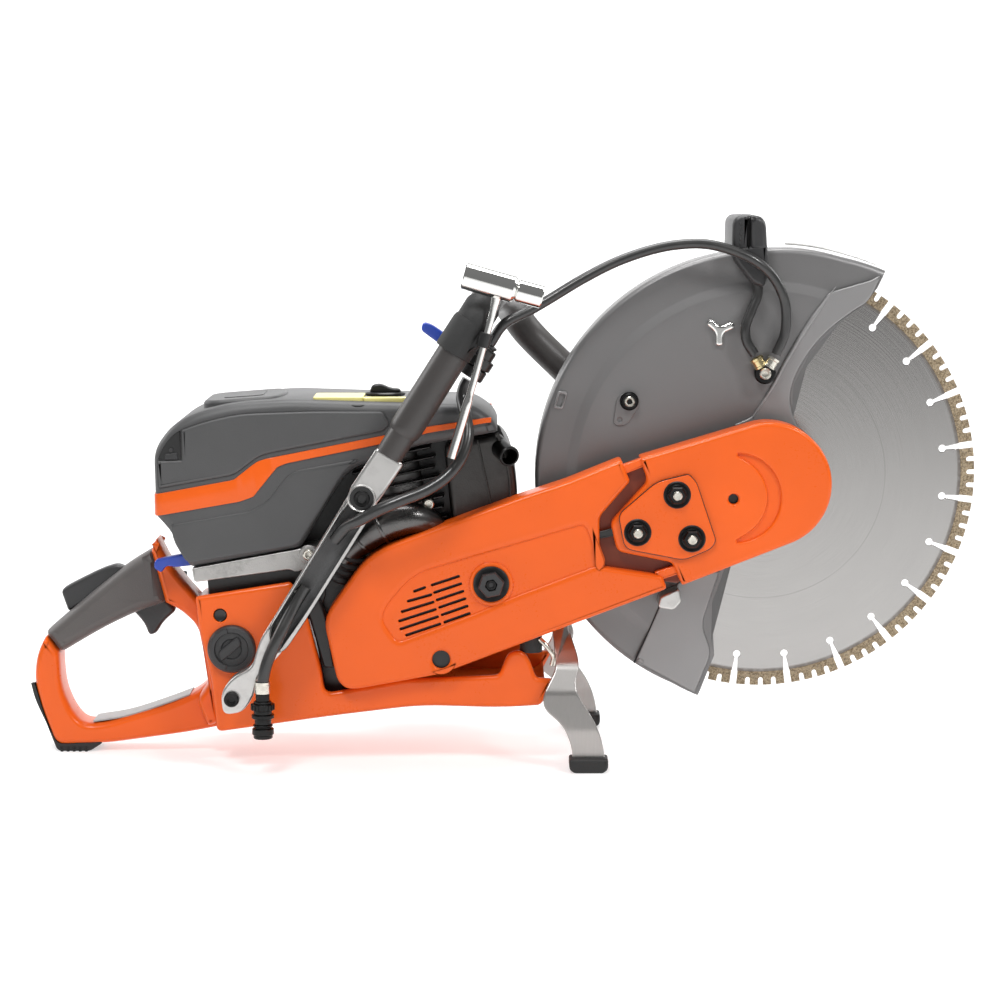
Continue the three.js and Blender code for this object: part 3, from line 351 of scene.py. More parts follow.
def frames(path, up=(0, 1, 0)):
    """Two unit vectors across a path at each point, the first as near to an up vector as can be."""
    tangent = np.gradient(np.asarray(path, float), axis=0)
    tangent /= np.linalg.norm(tangent, axis=1, keepdims=True)
    first = np.array(up, float) - tangent * (tangent @ np.array(up, float))[:, None]
    first /= np.linalg.norm(first, axis=1, keepdims=True)
    return first, np.cross(tangent, first)


def tube(path, radius, sides=20, up=(0, 1, 0), flat=1.0):
    """A round bar along a path, whose radius may be a list with one value for each point."""
    first, second = frames(path, up)
    turn = np.arange(sides) * 2 * math.pi / sides
    radius = np.broadcast_to(np.asarray(radius, float), (len(path),))[:, None, None]
    along_first, along_second = np.cos(turn)[None, :, None], np.sin(turn)[None, :, None]
    across = first[:, None] * along_first * flat + second[:, None] * along_second
    return loft(np.asarray(path, float)[:, None] + radius * across)


def straight(start, end, profile, sides=32):
    """A turned profile stood on one point and pointed at another."""
    way = np.array(end, float) - np.array(start, float)
    return turned(profile, sides).standing(start, way, face=(0, -1, 0.01))


# ---------------------------------------------------------------- pieces


def piece(name, form, look, body="frame", replaces=(), crease=34):
    """Makes a form an object that rides on a body: its points in metres, its doubles merged, its faces
    turned outwards, and its edges sharp where they turn by more than the crease."""
    mesh = bpy.data.meshes.new(name)
    mesh.from_pydata(place(form.points).tolist(), [], form.faces)
    work = bmesh.new()
    work.from_mesh(mesh)
    bmesh.ops.remove_doubles(work, verts=work.verts, dist=MERGE_DISTANCE)
    bmesh.ops.dissolve_degenerate(work, edges=work.edges, dist=THINNEST_EDGE)
    bmesh.ops.recalc_face_normals(work, faces=work.faces)
    work.to_mesh(mesh)
    work.free()
    mesh.shade_smooth()
    mesh.set_sharp_from_angle(angle=math.radians(crease))
    mesh.materials.append(look)
    made = bpy.data.objects.new(name, mesh)
    bpy.context.scene.collection.objects.link(made)
    if body:
        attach(made, body)
    if replaces:
        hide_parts(*replaces)
    return made


def paint(node, look):
    """Gives a CAD node that stays in sight a better material."""
    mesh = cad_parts[node].data
    mesh.materials.clear()
    mesh.materials.append(look)


# ---------------------------------------------------------------- shader expressions


class Wire:
    """A shader socket. Arithmetic on it adds Math nodes."""

    def __init__(self, look, socket):
        self.look, self.socket = look, socket

    def _math(self, operation, *values):
        return self.look.node("ShaderNodeMath", {"operation": operation}, *values)

    def __add__(self, other):
        return self._math("ADD", self, other)

    def __sub__(self, other):
        return self._math("SUBTRACT", self, other)

    def __rsub__(self, other):
        return self._math("SUBTRACT", other, self)

    def __mul__(self, other):
        return self._math("MULTIPLY", self, other)

    def __truediv__(self, other):
        return self._math("DIVIDE", self, other)

    def __pow__(self, other):
        return self._math("POWER", self, other)

    def __gt__(self, other):
        return self._math("GREATER_THAN", self, other)

    def __lt__(self, other):
        return self._math("LESS_THAN", self, other)

    __radd__, __rmul__ = __add__, __mul__

    def ramp(self, low, high):
        """0 below low, 1 above high and a smooth step between."""
        settings = {"interpolation_type": "SMOOTHSTEP", "clamp": True}
        return self.look.node("ShaderNodeMapRange", settings, self, low, high, 0.0, 1.0)


class Look:
    """A material with one Principled shader, whose constants are set straight on its sockets."""

    def __init__(self, name, **constants):
        self.material = bpy.data.materials.new(name)
        self.material.use_nodes = True
        self.tree = self.material.node_tree
        self.shader = self.tree.nodes["Principled BSDF"]
        for socket, value in constants.items():
            self.shader.inputs[socket.replace("_", " ").title().replace("Ior", "IOR")].default_value = value
        self._coords = None

    def node(self, kind, settings=None, *values, output=0, **named):
        """Adds a node: its settings first, then the values or links of its sockets, by place or by name."""
        made = self.tree.nodes.new(kind)
        for key, value in (settings or {}).items():
            if key == "stops":
                self._stops(made.color_ramp, value)
            else:
                setattr(made, key, value)
        for place_in, value in [*enumerate(values), *named.items()]:
            if value is None:
                continue
            socket = made.inputs[place_in if isinstance(place_in, int) else place_in.replace("_", " ")]
            if isinstance(value, Wire):
                self.tree.links.new(value.socket, socket)
            else:
                socket.default_value = value
        return Wire(self, made.outputs[output])

    @staticmethod
    def _stops(ramp, stops):
        while len(ramp.elements) < len(stops):
            ramp.elements.new(1.0)
        for element, (position, color) in zip(ramp.elements, stops):
            element.position, element.color = position, (*color, 1)

    def coords(self):
        """Object coordinates, in metres."""
        if self._coords is None:
            self._coords = self.node("ShaderNodeTexCoord", None, output=3)
        return self._coords

    def centred(self, scale=(1, 1, 1), turn=(0, 0, 0)):
        """Object coordinates about the blade's axis, scaled and turned."""
        shift = tuple(-AXIS)
        moved = self.node("ShaderNodeVectorMath", {"operation": "ADD"}, self.coords(), shift)
        return self.node("ShaderNodeMapping", None, moved, (0, 0, 0), turn, scale)

    def noise(self, scale, detail=3.0, roughness=0.55, vector=None):
        """Noise from 0 to 1, with its scale in bumps per metre."""
        return self.node(
            "ShaderNodeTexNoise", None, Vector=vector or self.coords(), Scale=scale, Detail=detail,
            Roughness=roughness
        )

    def cells(self, scale, feature="F1", vector=None):
        """Distance to the nearest of scattered points."""
        return self.node(
            "ShaderNodeTexVoronoi", {"feature": feature}, Vector=vector or self.coords(), Scale=scale
        )

    def mix(self, mask, a, b):
        """Colour a where the mask is 0 and b where it is 1."""
        made = self.tree.nodes.new("ShaderNodeMix")
        made.data_type = "RGBA"
        for socket, value in ((0, mask), (6, a), (7, b)):
            if isinstance(value, Wire):
                self.tree.links.new(value.socket, made.inputs[socket])
            else:
                made.inputs[socket].default_value = value if socket == 0 else (*value, 1)
        return Wire(self, made.outputs[2])

    def bump(self, height, distance, strength=1.0):
        """Sends a height through a Bump node into the shader's normal. The distance is in metres."""
        normal = self.node("ShaderNodeBump", None, Strength=strength, Distance=distance, Height=height)
        self.tree.links.new(normal.socket, self.shader.inputs["Normal"])

    def feed(self, **wires):
        """Links wires to the shader's sockets by name."""
        for socket, wire in wires.items():
            self.tree.links.new(wire.socket, self.shader.inputs[socket.replace("_", " ").title()])
        return self


def shade(color, factor):
    """A colour made lighter or darker."""
    return tuple(min(1.0, c * factor) for c in color[:3])


# ---------------------------------------------------------------- materials


def grained(name, color, roughness, scale, depth, **constants):
    """A moulded plastic or rubber: a fine grain of scattered cells, and slow changes of tone and gloss."""
    look = Look(name, roughness=roughness, **constants)
    broad, grain = look.noise(14, 3), look.cells(scale)
    dust = look.noise(240, 4).ramp(0.58, 0.78) * broad.ramp(0.42, 0.7)
    tone = look.mix(broad.ramp(0.3, 0.75), shade(color, 0.93), shade(color, 1.06))
    look.feed(Base_Color=look.mix(dust * 0.25, tone, shade(color, 1.5)))
    look.feed(Roughness=broad * 0.12 + dust * 0.12 + (roughness - 0.07))
    look.bump(grain + look.noise(scale * 0.4, 2) * 0.6, depth)
    return look.material


def orange_plastic(settings):
    """Gloss moulded plastic: faint orange peel, fine rubbed marks and slightly deeper colour in patches."""
    color = tuple(settings.orange)
    look = Look(
        "orange_plastic", roughness=0.3, ior=1.45, specular_ior_level=0.3, coat_weight=0.15,
        coat_roughness=0.12
    )
    broad, fine = look.noise(9, 3), look.noise(420, 3)
    across = look.node("ShaderNodeMapping", None, look.coords(), (0, 0, 0), (0, 0.35, 0), (40, 260, 1500))
    rubbed = look.noise(1.0, 2, vector=across).ramp(0.66, 0.8) * broad.ramp(0.45, 0.7)
    tone = look.mix(broad.ramp(0.3, 0.8), shade(color, 0.94), shade(color, 1.05))
    look.feed(Base_Color=look.mix(rubbed * 0.04, tone, (0.95, 0.45, 0.22)))
    look.feed(Roughness=fine * 0.06 + rubbed * 0.12 + broad * 0.08 + 0.22)
    look.bump(fine, 0.00003)
    return look.material


def cast_metal(name, color, roughness, scale, depth, dark=0.72):
    """Cast aluminium: a shot-blasted skin of small pits, with stains that follow slow noise."""
    look = Look(name, metallic=1.0, roughness=roughness)
    broad, pits = look.noise(30, 4), look.cells(scale)
    stains = look.noise(75, 5, 0.7).ramp(0.45, 0.75)
    tone = look.mix(stains * 0.5 + broad * 0.3, color, shade(color, dark))
    look.feed(Base_Color=tone, Roughness=broad * 0.2 + stains * 0.08 + (roughness - 0.12))
    look.bump(pits * 0.7 + look.noise(scale * 0.5, 3), depth)
    return look.material


def brushed_steel(name="brushed_steel", color=(0.56, 0.55, 0.54), stretch=(60, 60, 1400), roughness=0.3):
    """Steel with fine lines: noise that is stretched along the grain changes its gloss and its height."""
    look = Look(name, metallic=1.0, roughness=roughness)
    lines = look.noise(
        1.0, 3, vector=look.node("ShaderNodeMapping", None, look.coords(), (0, 0, 0), (0, 0, 0), stretch)
    )
    broad = look.noise(22, 3)
    look.feed(Base_Color=look.mix(lines * 0.45 + broad * 0.3, color, shade(color, 0.76)))
    look.feed(Roughness=lines * 0.14 + broad * 0.1 + (roughness - 0.1))
    look.bump(lines, 0.00002)
    return look.material


def radius_of(look):
    """Distance from the blade's axis, in metres: the length of the X and Z coordinates."""
    flat = look.centred(scale=(1, 0, 1))
    return look.node("ShaderNodeVectorMath", {"operation": "LENGTH"}, flat, output=1), flat


def blade_steel(settings):
    """Ground disc: concentric grinding lines, whose grooves spread the light outwards and inwards from the
    axis, a faint ring, and a heat-darkened band inside the rim."""
    color = tuple(settings.blade)
    look = Look("blade_steel", metallic=1.0, roughness=0.3)
    radius, flat = radius_of(look)
    x = look.node("ShaderNodeSeparateXYZ", None, flat)
    z = Wire(look, x.socket.node.outputs[2])
    angle = look.node("ShaderNodeMath", {"operation": "ARCTAN2"}, z, x)
    lines = look.noise(
        1.0, 3, vector=look.node("ShaderNodeCombineXYZ", None, radius * 2600, angle * 3, 0.0)
    )
    patches = look.noise(
        1.0, 3, vector=look.node("ShaderNodeCombineXYZ", None, radius * 60, angle * 2.2, 0.0)
    )
    ring = radius.ramp(0.1015, 0.102) * (1 - radius.ramp(0.1022, 0.1027))
    heat = radius.ramp(0.1605, 0.1625) * (look.noise(260, 3).ramp(0.25, 0.6) * 0.4 + 0.6)
    grooves = look.noise(
        1.0, 2, vector=look.node("ShaderNodeCombineXYZ", None, radius * 1200, angle * 0.8, 0.0)
    )
    tone = look.mix(lines * 0.35 + patches * 0.2, color, shade(color, 0.72))
    tone = look.mix(ring * 0.35, tone, shade(color, 0.55))
    look.feed(Base_Color=look.mix(heat * 0.75, tone, (0.16, 0.135, 0.115)))
    look.feed(Roughness=lines * 0.08 + heat * 0.25 + 0.14)
    look.bump(grooves, 0.00004)
    return look.material


def segment_metal(settings):
    """Sintered bronze with diamond grit: light and dark grains of two sizes."""
    look = Look("segment_bronze", metallic=0.75, roughness=0.5)
    grains, coarse = look.cells(1500), look.noise(700, 4, 0.7)
    tone = look.mix(coarse.ramp(0.35, 0.65), (0.17, 0.125, 0.075), (0.46, 0.37, 0.25))
    look.feed(Base_Color=look.mix(grains.ramp(0.25, 0.1), tone, (0.62, 0.6, 0.55)))
    look.feed(Roughness=coarse * 0.3 + 0.35)
    look.bump(grains + coarse, 0.00012)
    return look.material


def coated(name, color, roughness=0.42):
    """Satin powder coat on cast metal: fine orange peel, slow changes of gloss and pale rubbed specks."""
    look = Look(name, roughness=roughness, metallic=0.55, coat_weight=0.12, coat_roughness=0.35)
    broad, peel = look.noise(7, 3), look.noise(900, 2)
    specks = look.noise(170, 5, 0.7).ramp(0.66, 0.76)
    tone = look.mix(broad, shade(color, 0.92), shade(color, 1.08))
    look.feed(Base_Color=look.mix(specks * 0.22, tone, shade(color, 1.6)))
    look.feed(Roughness=broad * 0.14 + specks * 0.1 + (roughness - 0.08))
    look.bump(peel, 0.00003)
    return look.material


def hose_rubber(settings):
    """Smooth gloss rubber with a faint length-wise bloom."""
    look = Look("hose_rubber", roughness=0.26, ior=1.5, coat_weight=0.3, coat_roughness=0.1)
    broad, fine = look.noise(60, 3), look.noise(900, 2)
    look.feed(Base_Color=look.mix(broad.ramp(0.4, 0.75), (0.02, 0.02, 0.02), (0.03, 0.029, 0.028)))
    look.feed(Roughness=broad * 0.08 + 0.3)
    look.bump(fine, 0.00001)
    return look.material


def chrome(settings):
    """Polished chrome with a light haze and a few hairlines."""
    look = Look("chrome", metallic=1.0, roughness=0.1)
    haze = look.noise(55, 4)
    look.feed(Base_Color=look.mix(haze, (0.86, 0.86, 0.84), (0.7, 0.7, 0.68)))
    look.feed(Roughness=haze * 0.12 + 0.05)
    look.bump(look.noise(300, 2), 0.00001)
    return look.material


def plated(name, color):
    """Pale plated fittings: slow changes of tint and gloss."""
    look = Look(name, metallic=1.0, roughness=0.24)
    tint = look.noise(130, 4)
    look.feed(
        Base_Color=look.mix(tint.ramp(0.35, 0.7), color, shade(color, 0.72)), Roughness=tint * 0.2 + 0.16
    )
    look.bump(look.noise(900, 2), 0.00001)
    return look.material


def label(name, color):
    """A plain printed film: even colour, slight edge dirt and a soft gloss."""
    look = Look(name, roughness=0.38)
    dirt = look.noise(90, 5).ramp(0.55, 0.8)
    look.feed(Base_Color=look.mix(dirt * 0.3, color, shade(color, 0.7)), Roughness=dirt * 0.2 + 0.32)
    look.bump(look.noise(500, 2), 0.00001)
    return look.material


def filter_paper(settings):
    """Pleated paper: folds as a wave along X, with felt noise. The same wave makes the colour darker in the
    folds' hollows: painted shade.
    """
    look = Look("filter_paper", roughness=0.9)
    pleats = look.node("ShaderNodeTexWave", {"bands_direction": "X"}, look.coords(), 90.0, 0.4, output=1)
    # Darker colour where the wave is low, in the folds' hollows: painted shade.
    look.feed(Base_Color=look.mix(pleats, (0.42, 0.38, 0.28), (0.62, 0.58, 0.46)))
    look.bump(pleats + look.noise(800, 3) * 0.2, 0.001)
    return look.material


def rope_fibre(settings):
    """Braided cord: a diagonal wave."""
    look = Look("rope", roughness=0.85)
    one = look.node(
        "ShaderNodeTexWave", {"bands_direction": "DIAGONAL"}, look.coords(), 420.0, 1.0, output=1
    )
    look.feed(Base_Color=look.mix(one, (0.5, 0.48, 0.42), (0.72, 0.7, 0.64)))
    look.bump(one, 0.0003)
    return look.material


def floor_paper(settings):
    """A pale matt sweep with the faintest fibre."""
    tone = tuple(settings.floor)
    look = Look("floor_paper", roughness=0.6, specular_ior_level=0.25, emission_strength=0.85)
    fibre = look.noise(45, 3)
    paper = look.mix(fibre, tone, shade(tone, 0.99))
    look.feed(Base_Color=paper, Emission_Color=paper, Roughness=fibre * 0.08 + 0.5)
    return look.material


RECIPES = {
    "sleeve_rubber": lambda s: grained("sleeve_rubber", shade(tuple(s.grip), 0.55), 0.42, 700, 0.00003),
    # The orange at a fifth of its brightness: painted shade for the deep floor of the front cover's recess.
    "recess_painted_shade": lambda s: grained("recess_painted_shade", shade(tuple(s.orange), 0.2), 0.5, 300, 0.00003),
    "orange_plastic": orange_plastic,
    "cover_plastic": lambda s: grained("cover_plastic", tuple(s.cover), 0.46, 1500, 0.00005, ior=1.5),
    "dark_plastic": lambda s: grained("dark_plastic", (0.028, 0.028, 0.029), 0.42, 1300, 0.00005, ior=1.5),
    "black_plastic": lambda s: grained(
        "black_plastic", (0.012, 0.012, 0.012), 0.34, 1500, 0.00003, ior=1.5
    ),
    "grip_rubber": lambda s: grained("grip_rubber", tuple(s.grip), 0.5, 1100, 0.00007, sheen_weight=0.15),
    "rubber": lambda s: grained("rubber", (0.016, 0.016, 0.016), 0.62, 900, 0.0001),
    "blue_plastic": lambda s: grained(
        "blue_plastic", (0.018, 0.06, 0.42), 0.34, 1400, 0.00003, coat_weight=0.2
    ),
    "cast_aluminium": lambda s: cast_metal("cast_aluminium", (0.6, 0.59, 0.575), 0.36, 1300, 0.00006),
    "rough_aluminium": lambda s: cast_metal(
        "rough_aluminium", (0.5, 0.49, 0.475), 0.46, 900, 0.00016, 0.55
    ),
    "dark_casting": lambda s: cast_metal("dark_casting", (0.075, 0.072, 0.07), 0.42, 1000, 0.0001),
    "duct_casting": lambda s: cast_metal("duct_casting", (0.12, 0.117, 0.115), 0.3, 800, 0.00008),
    "brushed_steel": lambda s: brushed_steel(),
    "leg_steel": lambda s: brushed_steel("leg_steel", (0.47, 0.455, 0.44), (900, 900, 40), 0.34),
    "blade_steel": blade_steel,
    "segment_bronze": segment_metal,
    "guard_coat": lambda s: coated("guard_coat", tuple(s.guard)),
    # The guard's coat at 1.45 times its brightness: painted light on parts of the same casting, not a
    # second finish.
    "guard_coat_painted_lit": lambda s: coated("guard_coat_painted_lit", shade(tuple(s.guard), 1.45)),
    "hose_rubber": hose_rubber,
    "chrome": chrome,
    "zinc": lambda s: plated("zinc", (0.75, 0.72, 0.64)),
    "brass": lambda s: plated("brass", (0.66, 0.55, 0.3)),
    "black_steel": lambda s: cast_metal("black_steel", (0.03, 0.03, 0.03), 0.36, 1500, 0.00003),
    "yellow_label": lambda s: label("yellow_label", (0.8, 0.72, 0.26)),
    "grey_label": lambda s: label("grey_label", (0.33, 0.33, 0.33)),
    "filter_paper": filter_paper,
    "rope": rope_fibre,
    "floor_paper": floor_paper,
}
_made = {}


def look(name):
    """The material of one finish, made the first time that it is asked for."""
    if name not in _made:
        _made[name] = RECIPES[name](bpy.context.scene.cut_off_saw)
    return _made[name]


# ---------------------------------------------------------------- settings


def colour(name, description, default):
    """A setting that holds a colour."""
    return bpy.props.FloatVectorProperty(
        name=name, description=description, subtype="COLOR", min=0, max=1, default=default
    )


class SawSettings(bpy.types.PropertyGroup):
    """The sizes and colours that a user would change."""

    orange: colour("Orange", "Colour of the moulded covers", (0.78, 0.112, 0.009))
    cover: colour("Cover", "Colour of the engine cover", (0.07, 0.07, 0.071))
    guard: colour("Guard", "Colour of the blade guard's coat", (0.19, 0.187, 0.187))
    grip: colour("Grip", "Colour of the soft grips", (0.085, 0.077, 0.074))
    blade: colour("Blade", "Colour of the ground steel", (0.42, 0.41, 0.4))
    floor: colour("Floor", "Colour of the floor", (0.6, 0.6, 0.6))
    camera_distance: bpy.props.FloatProperty(
        name="Camera distance", description="From the saw's middle to the camera", default=2.1, min=1,
        unit="LENGTH",
    )
    camera_height: bpy.props.FloatProperty(
        name="Camera elevation", description="Height of the view above the horizon",
        default=math.radians(7.5),
        subtype="ANGLE",
    )
    lens: bpy.props.FloatProperty(
        name="Lens", description="Focal length in millimetres", default=92.2, min=20
    )
    guard_hose: bpy.props.FloatProperty(
        name="Guard hose", description="Diameter of the hose to the blade guard", default=0.008,
        unit="LENGTH",
    )
    inlet_hose: bpy.props.FloatProperty(
        name="Inlet hose", description="Diameter of the hose with the coupling", default=0.0094,
        unit="LENGTH",
    )


class BuildStep:
    """What every operator here shares."""

    bl_options = {"REGISTER", "UNDO"}

    def execute(self, context):
        self.build(context.scene.cut_off_saw)
        return {"FINISHED"}


# ---------------------------------------------------------------- stage


class SAW_OT_stage(BuildStep, bpy.types.Operator):
    """Floor, soft studio light and the camera."""

    bl_idname = "saw.stage"
    bl_label = "Stage"

    def build(self, settings):
        scene = bpy.context.scene
        scene.view_settings.view_transform = "Standard"
        aim = Vector(place((-213, 0, -21)))
        rise, reach = settings.camera_height, settings.camera_distance
        camera = bpy.data.objects.new("camera", bpy.data.cameras.new("camera"))
        camera.location = aim + Vector((0, -math.cos(rise) * reach, math.sin(rise) * reach))
        camera.rotation_euler = (aim - camera.location).to_track_quat("-Z", "Y").to_euler()
        camera.data.lens = settings.lens
        camera.data.sensor_width = 36
        scene.collection.objects.link(camera)
        scene.camera = camera
        self.sweep()
        self.lamp("key", (-0.6, -1.5, 2.2), 0.6, 30)
        self.lamp("front_fill", (1.5, -1.6, 1.9), 0.5, 26, (0.2, 0, 0.2))
        self.lamp("top", (0.0, 0.3, 2.2), 1.4, 36)
        self.lamp("rim_left", (-2.2, 0.8, 1.3), 1.2, 18)
        self.lamp("rim_right", (2.2, 0.7, 1.3), 1.2, 18)
        self.lamp("backdrop", (0.0, 2.4, 2.6), 2.0, 90, (0.0, 4.4, 1.4))
        world = bpy.data.worlds.new("studio")
        world.use_nodes = True
        world.node_tree.nodes["Background"].inputs[0].default_value = (1, 1, 1, 1)
        world.node_tree.nodes["Background"].inputs[1].default_value = 0.2
        scene.world = world

    @staticmethod
    def sweep():
        """The floor, which curves up into a backdrop through a quarter circle."""
        turn = np.linspace(0, math.pi / 2, 24)
        y = np.concatenate([[-6.0], 3.0 + 1.5 * np.sin(turn), [4.5]])
        z = np.concatenate([[0.0], 1.5 - 1.5 * np.cos(turn), [6.0]])
        rows = np.stack([np.zeros_like(y), y, z], 1)[:, None] + np.array([[[-7.0, 0, 0], [7.0, 0, 0]]])
        form = Form((rows - AXIS) / MM, grid_faces(len(y), 2, closed_columns=False))
        piece("floor", form, look("floor_paper"), body=None, crease=80)

    @staticmethod
    def lamp(name, spot, size, power, aim=(0, 0, 0.2)):
        data = bpy.data.lights.new(name, "AREA")
        data.shape, data.size, data.energy = "DISK", size, power
        lamp = bpy.data.objects.new(name, data)
        lamp.location = spot
        lamp.rotation_euler = (Vector(aim) - lamp.location).to_track_quat("-Z", "Y").to_euler()
        bpy.context.scene.collection.objects.link(lamp)


# ---------------------------------------------------------------- water hoses

INLET_ROUTE = [
    (-366, -90.8, -78), (-374, -93, -91), (-386.5, -101, -115), (-396.5, -102, -138), (-399.6, -102, -152),
    (-400, -102, -161),
]
GUARD_ROUTE = [
    (-220.8, -66, 111.6), (-210, -66, 127), (-189, -62, 138), (-175, -60, 146), (-148, -55, 162),
    (-121, -51, 175.5), (-93, -48, 185), (-73, -47, 188.8), (-52, -46.5, 189.5), (-32, -47, 185.3),
    (-11, -48, 176), (3, -46, 164), (12, -43, 148), (15, -40, 134), (14, -38, 117), (7.6, -37, 101.4),
]
SUPPLY_ROUTE = [
    (-343, -90.8, -41), (-334, -96, -30), (-322, -103.5, -23), (-308, -107, -15), (-289, -106, -7),
    (-271, -103, 0), (-254, -98, 11), (-243, -93, 25), (-238, -86, 41), (-240, -78, 56), (-243, -68, 69),
    (-241.5, -66, 77.5), (-238.3, -66, 83.6),
]


class SAW_OT_hoses(BuildStep, bpy.types.Operator):
    """The two free water hoses, the inlet's coupling and the hose that runs to the valve."""

    bl_idname = "saw.hoses"
    bl_label = "Water hoses"

    def build(self, settings):
        rubber = look("hose_rubber")
        coupling = piece(
            "inlet_coupling", self.coupling(), look("black_steel"), replaces=["hose_connector"], crease=40
        )
        band = turned([(5.4, 0), (5.4, 9), (6.1, 9), (6.1, 0)], 32, closed=True)
        ferrule = piece("inlet_ferrule", band.standing((-400, -102, -161), (0, 0, 1)), look("zinc"))
        path = smooth_path(INLET_ROUTE, 60)
        inlet = piece(
            "inlet_hose", tube(path, settings.inlet_hose / MM / 2), rubber, replaces=["hose_inlet"]
        )
        path = smooth_path(GUARD_ROUTE, 150)
        hose = piece(
            "guard_hose", tube(path, settings.guard_hose / MM / 2), rubber, body=None,
            replaces=["hose_guard"]
        )
        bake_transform(hose)
        piece("supply_hose", tube(smooth_path(SUPPLY_ROUTE, 120), 4.7), rubber, replaces=["hose_feed"])

    @staticmethod
    def coupling():
        """Two ribbed halves: a stepped bar with knurled bands, hollow at its lower end."""
        steps = [
            (5.5, 6), (7, 2), (9, 5), (7.2, 3.6), (9, 3), (6.6, 5), (7.8, 1.6), (6.6, 1.6), (8.6, 5),
            (7.6, 3),
        ]
        profile = knob_profile(steps, 0.5)[:-1]
        end = sum(length for _, length in steps)
        bore = [(4.2, end), (4.2, end - 9), (0, end - 9)]
        body = turned([*profile[:-1], (7.2, end), *bore], 36)
        turn = np.arange(18) * 20
        for angle in turn:
            rib = plate(
                np.array([(-0.7, -2.2), (0.7, -2.2), (0.7, 2.2), (-0.7, 2.2)]), -9.5, -8.6, (0.2, 0.2)
            )
            spun = rib.points @ rotation_z(angle).T
            body += Form(spun + (0, 0, 10.5), rib.faces)
        return body.standing((-400, -102, -161.3), (0, 0, -1))


def rotation_z(degrees):
    """A turn about local Z."""
    a = math.radians(degrees)
    return np.array([[math.cos(a), -math.sin(a), 0], [math.sin(a), math.cos(a), 0], [0, 0, 1]])


def about_axis(form, degrees, x=0, z=0):
    """Turns a form about an axis along Y, from +X towards +Z."""
    a = math.radians(degrees)
    turn = np.array([[math.cos(a), 0, -math.sin(a)], [0, 1, 0], [math.sin(a), 0, math.cos(a)]])
    centre = np.array([x, 0, z])
    return Form((form.points - centre) @ turn.T + centre, form.faces)


# ---------------------------------------------------------------- blade

SLOTS, FIRST_SLOT = 24, -6.7  # how many, and the angle of the first
PITCH = 360 / SLOTS
RIM, CORE, BORE = 175.0, 164.0, 12.7  # radii
CORE_HALF, SEGMENT_HALF = 1.3, 1.75  # half thicknesses
KEYHOLE, NECK = 150, 153.4  # radii of a slot's round end and of the narrow part that leads to it
NOTCH_BOTTOM, NOTCH_RADIUS = 170.6, 2.0


class SAW_OT_blade(BuildStep, bpy.types.Operator):
    """The slotted disc, its sintered segments, and what clamps it to the spindle."""

    bl_idname = "saw.blade"
    bl_label = "Blade"

    def build(self, settings):
        body = "blade_assembly"
        edge = (0.25, 0.25)
        bore = circle(0, 0, BORE)
        core = plate(self.slotted(), -CORE_HALF, CORE_HALF, edge, holes=[bore], hole_edge=edge)
        piece("blade_core", core, look("blade_steel"), body, replaces=["blade"], crease=50)
        one = plate(self.segment(), -SEGMENT_HALF, SEGMENT_HALF, edge)
        rim = Form(np.zeros((0, 3)), [])
        for slot in range(SLOTS):
            rim += about_axis(one, FIRST_SLOT + slot * 360 / SLOTS)
        piece("blade_segments", rim, look("segment_bronze"), body, crease=50)
        y0, y1 = near("flange_outer"), far("flange_outer")
        washer = [(5.3, y0), (50, y0), (50, y1 - 3), (48.5, y1 - 1.6), (24, y1 - 0.8), (20, y1), (5.3, y1)]
        clamp = turned(washer, 96, closed=True).standing((0, 0, 0), (0, 1, 0), face=(0, 0, -1))
        piece("clamp_flange", clamp, look("brushed_steel"), body, replaces=["flange_outer"])
        bolt = hexagon_nut(17, far("blade_bolt") - y1, 4).standing((0, y1, 0), (0, 1, 0), face=(0, 0, -1))
        piece("centre_bolt", bolt, look("black_steel"), body, replaces=["blade_bolt"], crease=25)

    @staticmethod
    def slotted():
        """The disc's edge: one sector, with its keyhole and its stretch of rim, turned round the axis as
        complex numbers."""
        hole = np.array(arc(KEYHOLE, 0, 3, -24, -336, 14))
        edge = polar(CORE, np.linspace(0.8, PITCH - 0.8, 9))
        sector = np.vstack([hole, [(NECK, 1.2)], edge, polar(NECK, [PITCH - 0.45])])
        number = sector[:, 0] + 1j * sector[:, 1]
        turn = np.exp(1j * np.radians(FIRST_SLOT + np.arange(SLOTS) * 360 / SLOTS))
        around = (turn[:, None] * number[None]).ravel()
        return np.stack([around.real, around.imag], 1)

    @staticmethod
    def segment():
        """One segment: an inner arc, and an outer edge with three round-bottomed notches."""
        inner = [tuple(p) for p in polar(CORE - 0.2, np.linspace(0.95, 14.05, 12))]
        outer = []
        for middle in (11.08, 7.5, 3.92):
            outer += [tuple(polar(RIM, middle + 1.8)), tuple(polar(RIM, middle + 0.68))]
            bottom = polar(NOTCH_BOTTOM, middle)
            start = middle + 90
            outer += [tuple(bottom + polar(NOTCH_RADIUS, start + t)) for t in np.linspace(0, 180, 7)]
            outer += [tuple(polar(RIM, middle - 0.68))]
        outer[0] = tuple(polar(RIM, 14.05))
        return np.array([*inner, *outer, tuple(polar(RIM, 0.95))])


# ---------------------------------------------------------------- blade guard

FRONT_EDGE = np.array(
    [(46, 62), (51, 55), (57, 65), (70, 72.6), (87, 73.2), (112, 70.1), (132, 66.4), (152, 62.1),
     (164, 59.5), (194, 60.3)]
)
FOOT_EDGE = np.array([(46, 247), (81, 247.5), (127.5, 248.9), (147, 255.4), (188, 254)])
FLARE = np.array([(59, 9), (70.7, 4), (81, 2.5), (91, 0), (247, 0), (256, 3.5)])


